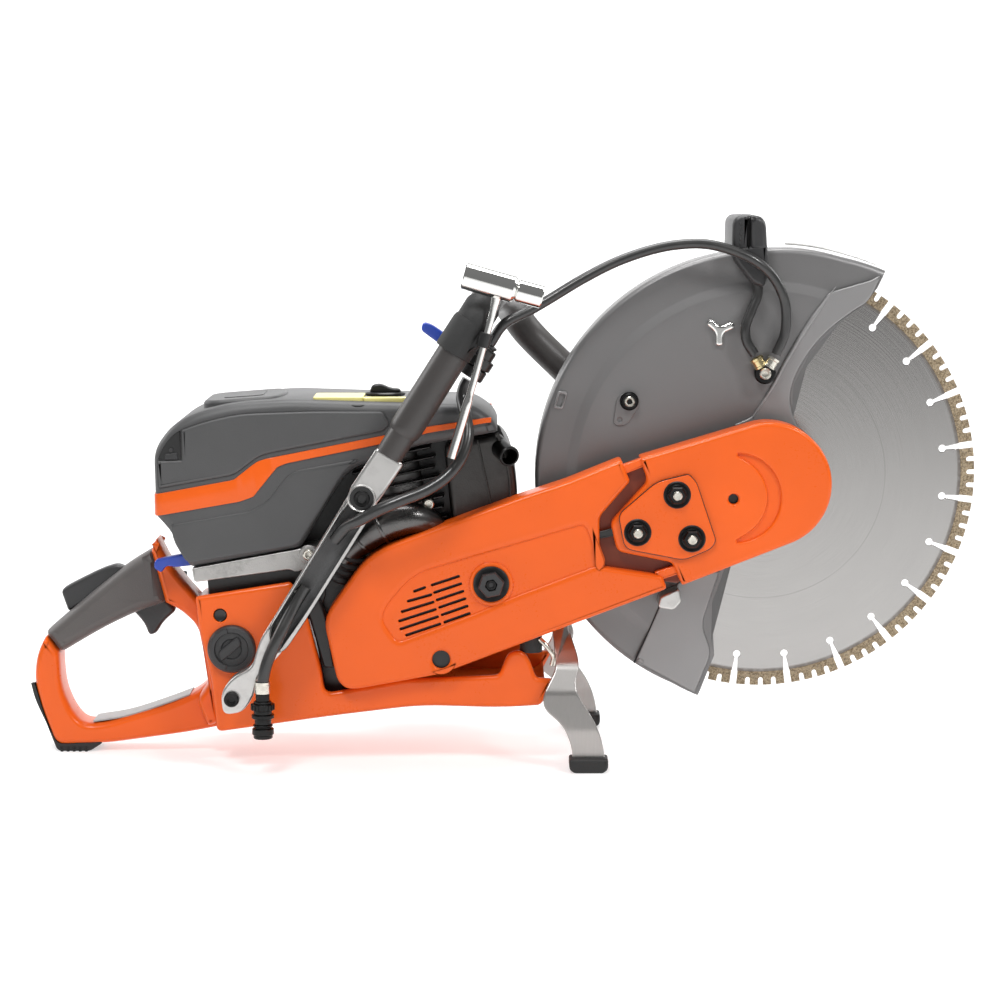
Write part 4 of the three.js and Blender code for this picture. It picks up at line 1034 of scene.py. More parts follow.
class SAW_OT_guard(BuildStep, bpy.types.Operator):
    """The cast guard round the blade, its two wings and its fittings."""

    bl_idname = "saw.guard"
    bl_label = "Blade guard"

    def build(self, settings):
        wall, back = near("blade_guard"), far("blade_guard")
        # light is the guard's coat made lighter: painted light on the wings, the rib, the mark and the
        # dimple.
        coat, light = look("guard_coat"), look("guard_coat_painted_lit")
        ring = plate(circle(0, 0, 47), wall, wall + 2.5, (0.5, 0.5), holes=[circle(0, 0, 32)])
        piece(
            "guard_shell", self.shell(wall, back) + ring, coat, "guard", replaces=["blade_guard"], crease=30
        )
        wing = rounded(
            [(50, 150, 3), (29, 118, 20), (6, 75, 20), (-9, 50.5, 6), (-24, 44), (-22, 40), (27.5, 41),
             (22.5, 52, 8), (19.8, 67, 8), (24, 84, 10), (37, 106, 12), (52, 122, 10), (70, 135.4, 8),
             (82, 142.5, 8), (93, 165, 6), (84, 160, 4)]
        )
        foot = rounded(
            [(-79, -95, 3), (-103, -151, 4), (-98, -152.5), (-54, -176.5), (-40.5, -143, 8), (-49, -119, 8),
             (-34.5, -76), (-60, -78)]
        )
        # The wings wear the lighter coat: painted light on the same casting's wall.
        for name, outline in (("guard_wing_front", wing), ("guard_wing_foot", foot)):
            near_wing = plate(outline, wall - 1.3, wall + 0.4, (1.3, 1.2))
            if name == "guard_wing_front":
                near_wing += near_wing.mirrored((wall + back) / 2)
            piece(name, near_wing, light, "guard", crease=40)
        # The rib wears the lighter coat: a painted highlight along it.
        rib = [(56, 155), (44, 138.5), (30, 117.5), (18, 97), (6.5, 75), (-2, 61), (-9, 50)]
        path = smooth_path([(x, wall - 1.0, z) for x, z in rib], 60)
        thick = np.interp(np.linspace(0, 1, 60), [0, 0.25, 1], [0.2, 2.2, 1.1])
        piece("guard_rib", tube(path, thick, 14), light, "guard")
        self.edge_strips(back)
        self.fittings(wall)

    @staticmethod
    def shell(wall, back):
        """A closed section of (radius, Y) points carried round the axis. Each radius has its own first and
        last angle, so the section's ends follow the cut-out's curved edges, and the rim flares at both
        ends."""
        turn = np.linspace(0, math.pi / 2, 6)
        rim, corner = 184.5, 4.5
        front_round = [
            (rim - corner + corner * math.sin(a), wall + 3.4 + corner - corner * math.cos(a)) for a in turn
        ]
        back_round = [
            (rim - corner + corner * math.cos(a), back - 3.4 - corner + corner * math.sin(a)) for a in turn
        ]
        outside = [(46, wall), (80, wall), (110, wall), (140, wall), (150, wall), (152, wall + 0.2),
                   (158, wall + 2.4), (160, wall + 2.7), (172, wall + 3.1),
                   *front_round, *back_round, (172, back - 3.1), (160, back - 2.7), (152, back - 0.2),
                   (150, back), (110, back), (62, back)]
        thin = 2.3
        inside = [(62, back - thin), (110, back - thin), (150, back - thin), (160, back - thin - 2.7),
                  (rim - 5, back - thin - 4), (rim - 3, back - 9), (rim - 3, wall + 10),
                  (rim - 5, wall + thin + 4), (160, wall + thin + 2.7), (150, wall + thin),
                  (110, wall + thin), (46, wall + thin)]
        section = np.array([*outside, *inside])
        radius, y = section.T
        first = np.interp(radius, *FRONT_EDGE.T)
        last = np.interp(radius, *FOOT_EDGE.T) - np.where(y > 0, 2.2, 0)
        share = np.linspace(0, 1, 150)[:, None]
        angle = first * (1 - share) + last * share
        flared = radius + np.interp(angle, *FLARE.T) * np.clip((radius - 150) / 34.5, 0, 1)
        flat = polar(flared, angle)
        rings = np.stack([flat[..., 0], np.broadcast_to(y, angle.shape), flat[..., 1]], -1)
        return loft(rings)

    @staticmethod
    def edge_strips(back):
        """Bright rubbed edge: a thin bar along the flared tip."""
        bright = look("cast_aluminium")
        tip = ((84, 2.2), (79, 3.2), (74, 4.4), (69, 5.6), (64.5, 7.2), (61, 8.8))
        rim = [polar(186.6 + f, a) for a, f in tip]
        path = smooth_path([(x, back - 2, z) for x, z in rim], 30)
        piece("guard_tip_strip", tube(path, 0.9, 8), bright, "guard")

    def fittings(self, wall):
        """The stop bolt on its plate, the three-lobed catch, the raised mark and the foot's dimple."""
        tab = rounded(
            [(-119, 66, 6), (-109, 72, 8), (-100, 66, 6), (-101, 58, 6), (-111, 43, 5), (-122, 43, 5)]
        )
        piece("stop_plate", plate(tab, wall - 1.5, wall, (0.6, 0.6), holes=[circle(-116.5, 48, 1.9, 24)]),
              look("guard_coat"), "guard")
        bolt = along_y(turned(knob_profile([(7.6, 1.6), (6.6, 4.6)], 0.8), 36), -109, wall - 1.5, 63)
        piece("stop_bolt", bolt, look("black_steel"), "guard")
        piece("stop_bolt_head", screw(-109, wall - 7.2, 63, 4.3, 1.8, 2.2), look("zinc"), "guard")
        lobes = self.star(-37, 119.5, ((139, 12), (24, 12.5), (270, 12)), 3.1, 3.2)
        piece("guard_catch", plate(lobes, wall - 4.2, wall + 0.2, (1.8, 1.8)), look("chrome"), "guard")
        # The raised mark wears the lighter coat: painted light.
        mark = rounded([(-170, 57, 2), (-166, 71, 2), (-158.5, 70, 2), (-162.5, 56, 2)])
        inner = rounded([(-168, 58.6, 1.5), (-164.8, 69, 1.5), (-160.6, 68.4, 1.5), (-163.8, 57.8, 1.5)])
        raised = plate(mark, wall + 1.2, wall + 4.2, (0.5, 0.5), holes=[inner])
        piece("guard_mark", raised, look("guard_coat_painted_lit"), "guard")
        block = rounded([(-84, -93, 2), (-69, -86, 3), (-67, -97, 2), (-73, -104, 3), (-86, -102, 3)])
        piece("guard_stop_block", plate(block, -50, wall - 2, (1.6, 1.6)), look("cast_aluminium"))
        # The dimple wears the lighter coat: painted light.
        dimple = rounded([(-102, -150.5, 1), (-100, -147, 3), (-95.5, -149.5, 3), (-96.5, -153.5, 1)])
        piece("guard_dimple", plate(dimple, wall - 2.4, wall, (1, 1)), look("guard_coat_painted_lit"), "guard")
        # A thin black bar along the foot wing's edge: a painted shadow line where the wing steps out from
        # the wall.
        seam = [(-79.5, wall - 0.4, -96), (-91, wall - 0.4, -124), (-103.5, wall - 0.4, -151.5)]
        piece("guard_step_painted_shadow", tube(smooth_path(seam, 20), 0.8, 8), look("black_plastic"), "guard")

    @staticmethod
    def star(x, z, arms, half, valley):
        """An outline with round-ended arms, each given by its angle and length."""
        corners = []
        ordered = sorted(arms)
        for i, (angle, length) in enumerate(ordered):
            after = ordered[(i + 1) % len(ordered)][0] + (360 if i == len(ordered) - 1 else 0)
            way = polar(1.0, angle)
            side = np.array([-way[1], way[0]]) * half
            tip = np.array([x, z]) + way * length
            corners += [(*(tip - side), half * 0.9), (*(tip + side), half * 0.9)]
            corners.append((*(np.array([x, z]) + polar(valley, (angle + after) / 2)), 4))
        return rounded(corners)


class SAW_OT_guard_handle(BuildStep, bpy.types.Operator):
    """The guard's adjusting handle in two halves, and the water nozzle with its cross hose."""

    bl_idname = "saw.guard_handle"
    bl_label = "Guard handle and nozzle"

    def build(self, settings):
        low, high = extent("guard_handle")
        y0, y1, top = low[1], high[1], high[2]
        dark = look("dark_plastic")
        rear = rounded(
            [(-29, 184), (-28.5, top - 4, 4), (-24.5, top, 3), (-15.8, top + 0.3, 1), (-15.8, 184)]
        )
        front = rounded([(-15, 184), (-15, top + 0.3, 1), (-6.5, top, 4), (-1.8, top - 5, 5), (-0.4, 184)])
        grip = plate(rear, y0, y1, (3, 4)) + plate(front, y0 - 0.6, y1 + 0.6, (4, 5))
        seam = plate(
            rounded([(-16.4, 185), (-16.4, top - 1), (-14.6, top - 1), (-14.6, 185)]), y0 - 0.2, y1 + 0.2
        )
        fairing = rounded(
            [(-29, 187, 2), (-28, 177, 3), (-13, 158, 5), (-3, 153.5, 4), (1.5, 167, 8), (-0.5, 190, 2)]
        )
        wall, back = near("blade_guard"), far("blade_guard")
        grip += plate(fairing, y0, wall - 0.2, (3.4, 6)) + plate(fairing, back + 0.2, y1, (3.4, 6))
        piece("adjusting_handle", grip, dark, "guard", replaces=["guard_handle"])
        piece("adjusting_handle_seam", seam, look("black_plastic"), "guard")
        dots = Form(np.zeros((0, 3)), [])
        for row in range(5):
            dots += along_y(turned(knob_profile([(1.1, 0.8)], 0.4), 12), -22, y0 + 0.3, 189 + row * 4)
        piece("adjusting_handle_studs", dots, dark, "guard")
        self.nozzle(wall)
        self.cross_hose(back)

    @staticmethod
    def nozzle(wall):
        centre = np.array([-1.0, wall - 11, 86.0])
        body = along_y(
            turned(knob_profile([(6.2, 5), (8.6, 8)], 1.2), 40), centre[0], wall - 0.3, centre[2]
        )
        piece("nozzle_body", body, look("black_steel"), "guard", replaces=["nozzle"])
        piece("nozzle_bolt", screw(centre[0], wall - 13.2, centre[2], 4.6, 2.6, 2.3), look("zinc"), "guard")
        ring = turned([(3.8, 5.5), (5.2, 5.8), (5.2, 7.4), (4.9, 7.8), (4.9, 12), (5.6, 12.4), (5.6, 14.4),
                       (3.8, 14.6)],
                      32, closed=True)
        for name, side, finish in (("left", -1, "brass"), ("right", 1, "zinc")):
            way = (side * 8.2, 0, 14)
            piece(f"ferrule_{name}", ring.standing(centre, way), look(finish), "guard")

    @staticmethod
    def cross_hose(back):
        wall = near("blade_guard")
        y0, y1, rim = wall - 7, back + 7, 184.5
        route = [
            (-9.6, wall - 11, 101.4), (-16, wall - 11, 112), (-17, wall - 11, 123), (-12, wall - 9, 137),
            (-7, y0, 150), (-9, y0, 170), (-13, y0 + 2, rim + 1), (-15, y0 + 10, rim + 9),
            (-15, -4, rim + 11), (-15, y1 - 10, rim + 9), (-13, y1 - 1, rim + 1), (-9, y1, 168),
            (-4, y1, 140), (-1, y1, 112), (-1, y1, 90),
        ]
        hose = tube(smooth_path(route, 130), 4)
        jet = turned(knob_profile([(8.4, 9), (5.6, 4)], 1), 36).standing(
            (-1, back + 0.2, 86), (0, 1, 0), (0, 0, -1)
        )
        piece("cross_hose", hose, look("hose_rubber"), "guard", replaces=["hose_bridge"])
        piece("far_jet", jet, look("black_steel"), "guard")


# ---------------------------------------------------------------- belt guards

STUDS = [(-73, -7), (-104, -37), (-61, -42)]
TENSIONER = (-220, -79)


class SAW_OT_belt_guards(BuildStep, bpy.types.Operator):
    """The two orange covers over the belt, with the vents, the clamp plate and its nuts."""

    bl_idname = "saw.belt_guards"
    bl_label = "Belt guards"

    def build(self, settings):
        orange, black = look("orange_plastic"), look("black_plastic")
        face, skirt = near("belt_guard_rear") - 0.8, far("belt_guard_rear")
        outer = rounded(
            [(-354, -107, 12), (-317, -54, 20), (-250, -29, 20), (-196, -9, 6), (-160, 3, 4),
             (-117, 20.5, 3), (-110, 3, 2), (-134, -25, 4), (-134, -65, 3), (-84, -72.5, 2), (-80, -83, 3),
             (-213, -134, 8), (-260, -152, 8), (-334, -165.5, 12), (-343, -158, 6)]
        )
        channel = rounded(
            [(-295, -126, 5), (-308, -108, 12), (-303, -96, 8), (-282, -71, 16), (-146, -31, 5),
             (-134, -63, 4), (-200, -88, 12), (-233, -102.5, 5)]
        )
        hole = circle(-260, -140, 7.2, 32)
        body = tray(outer, face, skirt, 2.5, (3.2, 3.6), holes=[channel, hole], hole_edge=(4.5, 2.0))
        floor_level = face + 2.0
        vents = [pill(start, end, 1.15) for start, end in self.vent_rows()]
        bore = circle(*TENSIONER, 14, 40)
        bed = plate(
            self.grown(channel, -5.5), floor_level, floor_level + 2, (0.2, 0.2), holes=[*vents, bore]
        )
        ring = turned(
            [(13.6, 0), (17.8, 0), (17.6, 1.0), (16.6, 1.8), (15.2, 1.9), (14.4, 1.4), (13.6, -2)], 64,
            closed=True
        )
        boss = along_y(ring, TENSIONER[0], floor_level, TENSIONER[1])
        piece("rear_belt_guard", body + bed + boss, orange, replaces=["belt_guard_rear"])
        # Black sheets behind the vent slots and behind the round hole: painted shade for the dark inside of
        # the cover.
        dark = plate(self.grown(channel, -3), floor_level + 4.5, floor_level + 5.5)
        dark += plate(circle(-260, -140, 9, 24), face + 5, face + 6)
        piece("vent_painted_shade", dark, black)
        self.front_cover(near("belt_guard_front"), skirt)
        self.clamp(near("clamp_plate"))
        self.tensioner(floor_level)

    @staticmethod
    def grown(outline, inset):
        """An outline moved inwards, or outwards by a negative inset."""
        return outline + inward(outline) * inset

    @staticmethod
    def vent_rows():
        """Start and end of each vent: two columns whose ends follow the channel's slanted corner."""
        left = [(-281, -85), (-286, -93), (-291, -101.5), (-293, -109), (-292, -115.5), (-287.5, -120.5)]
        rows = []
        for row, start in enumerate(left):
            end = (-273 + min(row, 1) * 3 + row * 1.8, -82 - row * 5.9)
            rows.append((start, end))
            rows.append(((-267 + row * 2.0, -80 - row * 6), (-246 + row * 1.7, -73 - row * 6)))
        return rows

    def front_cover(self, face, skirt):
        orange = look("orange_plastic")
        outer = rounded(
            [(-102.5, 21.5, 2), *arc(0, 0, 50, 106, -66.7, 40), (-68, -80.5, 2), (-76.5, -62, 3),
             (-120, -53, 5), (-125.5, -30, 5), (-96, 3, 5)]
        )
        groove = self.crescent(0)
        hole = circle(-28, -11, 4, 28)
        body = tray(outer, face, skirt, 2.5, (3.2, 3.6), holes=[groove, hole], hole_edge=(1.6, 3.0))
        bed = plate(self.crescent(1.5), face + 2.9, face + 4.0, (0.2, 0.2))
        tongue = rounded(
            [(-152, 2, 3), (-98, 23, 3), (-86, 10), (-62, -70), (-70, -80, 3), (-88, -78, 2), (-150, -66)]
        )
        # The recess floor wears the darkened orange: painted shade for its depth.
        under = plate(tongue, face + 9.5, face + 13, (1.5, 1.5))
        rail = plate(
            rounded([(-119, 15, 1), (-99, 22, 1), (-96, 16, 1), (-113, 9, 1)]), face + 2.6, face + 11,
            (1.2, 1.2)
        )
        rail += plate(
            rounded([(-90, -70, 1), (-70, -63, 1), (-67, -70, 1), (-87, -77, 1)]), face + 2.6, face + 11,
            (1.2, 1.2)
        )
        piece("front_belt_guard", body + bed + rail, orange, replaces=["belt_guard_front"])
        piece("recess_floor", under, look("recess_painted_shade"))
        pins = plate(circle(-28, -11, 6, 20), face + 6, face + 7)
        pins += plate(
            rounded([(-139, -44, 1), (-139, -38.5, 1), (-122, -34, 1), (-122, -41, 1)]), face + 3, face + 6
        )
        piece("guard_key", pins, look("black_plastic"))

    @staticmethod
    def crescent(grow):
        """A groove between two circles whose centres are apart, so that it tapers to both ends."""
        outside = arc(-26, -10, 35.5 + grow, 88, -88, 28)
        turn = np.radians(np.linspace(-88, 88, 28))
        radius = 35.5 - (9.5 + 2 * grow) * np.cos(turn) ** 0.6 - 0.6
        inside = [(-26 + r * math.cos(t), -10 + r * math.sin(t)) for r, t in zip(radius, turn)]
        return np.array([*outside, *inside])

    @staticmethod
    def clamp(y0):
        outline = rounded(
            [(-119, -23, 5), (-89, 3, 7), (-64, 9, 2), (-58, 3, 4), (-42, -44, 4), (-46, -50, 4),
             (-67, -59, 6), (-114, -50, 7)]
        )
        holes = [circle(x, z, 9.6, 40) for x, z in STUDS]
        face = plate(outline, y0 - 0.4, y0 + 3.3, (0.8, 0.8), holes=holes, hole_edge=(0.9, 0.9))
        piece("clamping_plate", face, look("orange_plastic"), replaces=["clamp_plate"])
        # A black plate 0.55 mm wider than the clamp plate, set behind its face: a painted shadow line round
        # the plate's edge.
        gap = plate(outline - inward(outline) * 0.55, y0 + 0.5, y0 + 3.3, (0.1, 0.1), holes=holes)
        piece("clamping_painted_shadow", gap, look("black_plastic"))
        for number, (x, z) in enumerate(STUDS, 1):
            cup = turned(
                [
                    (0, -0.6), (6.8, -0.6), (9.0, 0.6), (10.2, 1.1), (10.9, 0.4), (10.9, -0.4), (9.4, -3),
                    (0, -3)
                ], 44
            )
            piece(f"nut_cup_{number}", along_y(cup, x, y0 - 0.3, z), look("black_plastic"))
            nut = hexagon_nut(13, 5.6) + turned(knob_profile([(8.2, 1.2)], 0.4), 36)
            piece(f"flange_nut_{number}", along_y(nut, x, y0 - 0.6, z), look("black_steel"),
                  replaces=[f"arm_nut_{number}"], crease=25)
            stud = turned(knob_profile([(3.7, 8.2), (3.2, 0.8)], 0.4), 24)
            piece(f"arm_stud_{number}", along_y(stud, x, y0, z), look("zinc"))

    @staticmethod
    def tensioner(level):
        x, z = TENSIONER
        cup = turned([(0, 0.6), (11, 0.6), (12.8, 1.4), (14.2, 1.6), (14.6, 0.8), (14.6, -3), (0, -3)], 56)
        form = along_y(cup, x, level, z)
        piece("tensioner_disc", form, look("black_plastic"), "tensioner", replaces=["belt_tensioner"])
        nut = along_y(hexagon_nut(18.5, 8, 5.2), x, level - 0.4, z)
        piece("tensioner_nut", about_axis(nut, 12, x, z), look("dark_plastic"), "tensioner", crease=25)
        piece("tensioner_screw", screw(x, level - 5, z, 4.6, 2.6, 2.2), look("black_steel"), "tensioner")


# ---------------------------------------------------------------- engine cover

COVER_SIDE = [
    (-461, -68, 4), (-372, -52, 4), (-349, -12, 10), (-333, 11, 10), (-278, 30, 8), (-214, 41, 4),
    (-219, 52, 6), (-234, 62, 8), (-320, 64, 10), (-381, 66, 10), (-425, 63, 20), (-455, 56, 14),
    (-475, 45, 14), (-488, 26, 10), (-487.5, -26, 3), (-483, -31, 3), (-477, -38, 6),
]
STRIPE_TOP = np.array(
    [(-490, -9), (-425, 3), (-406.5, 17.5), (-399, 20), (-308, 38), (-268, 46), (-222, 53)]
)
STRIPE_FOOT = np.array([(-490, -26.5), (-421, -14.5), (-409.5, -10.5), (-390, 13.5), (-382, 16.5),
                        (-316, 30), (-268, 41), (-222, 49)])


class SAW_OT_engine_cover(BuildStep, bpy.types.Operator):
    """The moulded cover over the cylinder and the air filter, with its stripe, panels and knob."""

    bl_idname = "saw.engine_cover"
    bl_label = "Engine cover"

    def build(self, settings):
        plastic, half = look("cover_plastic"), 60.0
        body = plate(rounded(COVER_SIDE, 7), -half, half, (7, 7)).bent(self.crowned)
        piece("engine_cowl", body, plastic, replaces=["engine_cover"], crease=40)
        upper = rounded(
            [(-485, -4, 3), (-424, 7, 6), (-406, 21, 6), (-398, 24, 4), (-306, 42, 3), (-300, 48, 3),
             (-306, 58, 3), (-364, 58, 8), (-421, 56, 14), (-450, 49, 10), (-466, 43, 1), (-466, 19, 1),
             (-485.5, 18.5, 1)]
        )
        panel = plate(upper, -half - 1.8, -half + 1, (2.6, 1.8))
        piece("cowl_panels", panel + panel.mirrored(), plastic, crease=40)
        lower = rounded(
            [(-473, -47, 6), (-463, -64, 5), (-374, -49.5, 5), (-352, -15, 10), (-338, 9, 10),
             (-324, 20, 5), (-380, 10, 10), (-398, -14, 8), (-412, -22, 5), (-476, -33, 4)]
        )
        rib = plate(lower, -half - 0.9, -half + 1, (2.2, 0.9))
        piece("cowl_lower_panels", rib + rib.mirrored(), plastic, crease=40)
        self.stripe(half)
        self.corner_recess(half)
        self.top()

    @staticmethod
    def crowned(points):
        """Lifts the top in the middle: the rise is one minus the square of the share of the half width, and
        fades out below the top edge and towards the front."""
        share = np.clip(1 - (points[:, 1] / 60) ** 2, 0, 1)
        topness = np.clip((points[:, 2] - 38) / 24, 0, 1) * np.clip((-215 - points[:, 0]) / 30, 0, 1)
        points[:, 2] += 3.2 * share**0.8 * topness
        tail = np.clip((-455 - points[:, 0]) / 30, 0, 1) * np.clip((points[:, 2] + 40) / 30, 0, 1)
        points[:, 0] -= 3.0 * share * tail
        return points

    @staticmethod
    def stripe(half):
        """A band that follows the cover's plan view: along one side, round a quarter circle at each rear
        corner, across the back and along the other side. Its top and foot depend on X alone."""
        corner, rear, front, thick = 7.0, -488.2, -220.0, 0.7
        turn = np.linspace(0, math.pi / 2, 9)
        side = np.linspace(front, rear + corner, 70)
        x = np.concatenate([side, rear + corner - corner * np.sin(turn)])
        y = np.concatenate([np.full(len(side), -half - thick), -half - thick + corner * (1 - np.cos(turn))])
        across = np.linspace(-half + corner, half - corner, 30)[1:-1]
        bulge = 3.0 * np.clip(1 - (across / 60) ** 2, 0, 1)
        x = np.concatenate([x, rear - bulge, x[::-1]])
        y = np.concatenate([y, across, -y[::-1]])
        plan = np.stack([x, y], 1)
        way = np.gradient(plan, axis=0)
        out = np.stack([way[:, 1], -way[:, 0]], 1) / np.linalg.norm(way, axis=1, keepdims=True)
        out *= -1
        top, foot = np.interp(x, *STRIPE_TOP.T), np.interp(x, *STRIPE_FOOT.T)
        section = [(0.0, -1.6), (0.0, 0.1), (0.05, 0.5), (0.95, 0.5), (1.0, 0.1), (1.0, -1.6)]
        rings = [
            np.column_stack([plan + out * depth, foot + (top - foot) * share]) for share, depth in section
        ]
        rings = np.stack(rings, 1)
        piece("cowl_stripe", loft(rings), look("orange_plastic"), crease=25)

    @staticmethod
    def corner_recess(half):
        """The dark corner pockets at the rear, each with a small clip in it."""
        pocket = rounded(
            [(-466.5, 43, 1), (-466.5, 19.5, 1), (-485, 19.5, 1), (-480, 31, 8), (-473, 39, 6)]
        )
        dark = plate(pocket, -half - 0.7, -half + 1, (0.4, 0.4))
        clip = plate(
            rounded([(-479, 19.6), (-479, 24, 1), (-469, 25, 1), (-469, 19.6)]), -half - 2.0, -half,
            (0.6, 0.6)
        )
        clip += along_y(turned(knob_profile([(1.6, 1.4)], 0.4), 16), -474, -half - 1.2, 27)
        piece("cowl_pockets", dark + dark.mirrored(), look("black_plastic"))
        piece("cowl_pocket_clips", clip + clip.mirrored(), look("dark_plastic"))

    @staticmethod
    def top():
        """The raised pad, the plain labels, the drain hole and the turning knob on the cover's top."""

        def slab(corners, z0, z1, edge, slope=0.0, pivot=-380.0):
            flat = plate(rounded([(x, y, r) for x, y, r in corners]), -z1, -z0, (edge, edge))
            lifted = flat.points[:, [0, 2, 1]] * (1, 1, -1)
            lifted[:, 2] += (lifted[:, 0] - pivot) * slope
            return Form(lifted, flat.faces)

        pad = slab(
            [(-452, -38, 16), (-392, -40, 12), (-384, 0, 20), (-392, 40, 12), (-452, 38, 16)], 60, 69, 3,
            0.075
        )
        piece("cowl_pad", pad, look("cover_plastic"), crease=40)
        badge = slab([(-436, -22, 5), (-404, -22, 5), (-404, 22, 5), (-436, 22, 5)], 67.6, 69.6, 0.5, 0.075)
        piece("pad_badge", badge, look("dark_plastic"))
        strip = slab([(-362, -50, 3), (-322, -50, 3), (-322, -8, 3), (-362, -8, 3)], 64, 67.9, 0.3)
        strip += slab([(-322, -50, 2), (-288, -50, 3), (-288, -36, 3), (-322, -36, 3)], 64, 67.4, 0.3)
        piece("warning_film", strip, look("yellow_label"))
        drain = turned(knob_profile([(6.5, 0.8)], 0.3), 36).bent(lambda p: p * (1, 0.5, 1))
        piece(
            "drain_hole", drain.standing((-326, -56, 62.4), (0, -0.35, 1), (0, -1, 0)),
            look("black_plastic")
        )
        x, y, z = -306, -10, extent("cover_knob")[0][2] + 11.5
        disc = turned(
            [
                (0, z), (15.4, z), (16.2, z + 0.8), (16.2, z + 2.2), (15, z + 3.2), (12, z + 2.4),
                (0, z + 2.4)
            ], 56
        )
        disc = disc.shifted(x, y)
        wing = rounded([(-13, 0, 3), (13, 0, 3), (12, 4, 3), (4, 4.6, 3), (-4, 8.2, 3), (-11, 7, 3)])
        bar = plate(wing, -4, 4, (1.8, 2)).shifted(x, y, z + 1.6)
        piece("filter_knob", disc + bar, look("black_plastic"), "filter_knob", replaces=["cover_knob"])


# ---------------------------------------------------------------- engine

LEAN = math.radians(12)
CRANK = (-275.0, -98.0)


def on_engine(along, up):
    """A point in the cylinder's own frame, which leans back about the crankshaft: a turn and a shift."""
    x = CRANK[0] + along * math.cos(LEAN) - up * math.sin(LEAN)
    return x, CRANK[1] + along * math.sin(LEAN) + up * math.cos(LEAN)


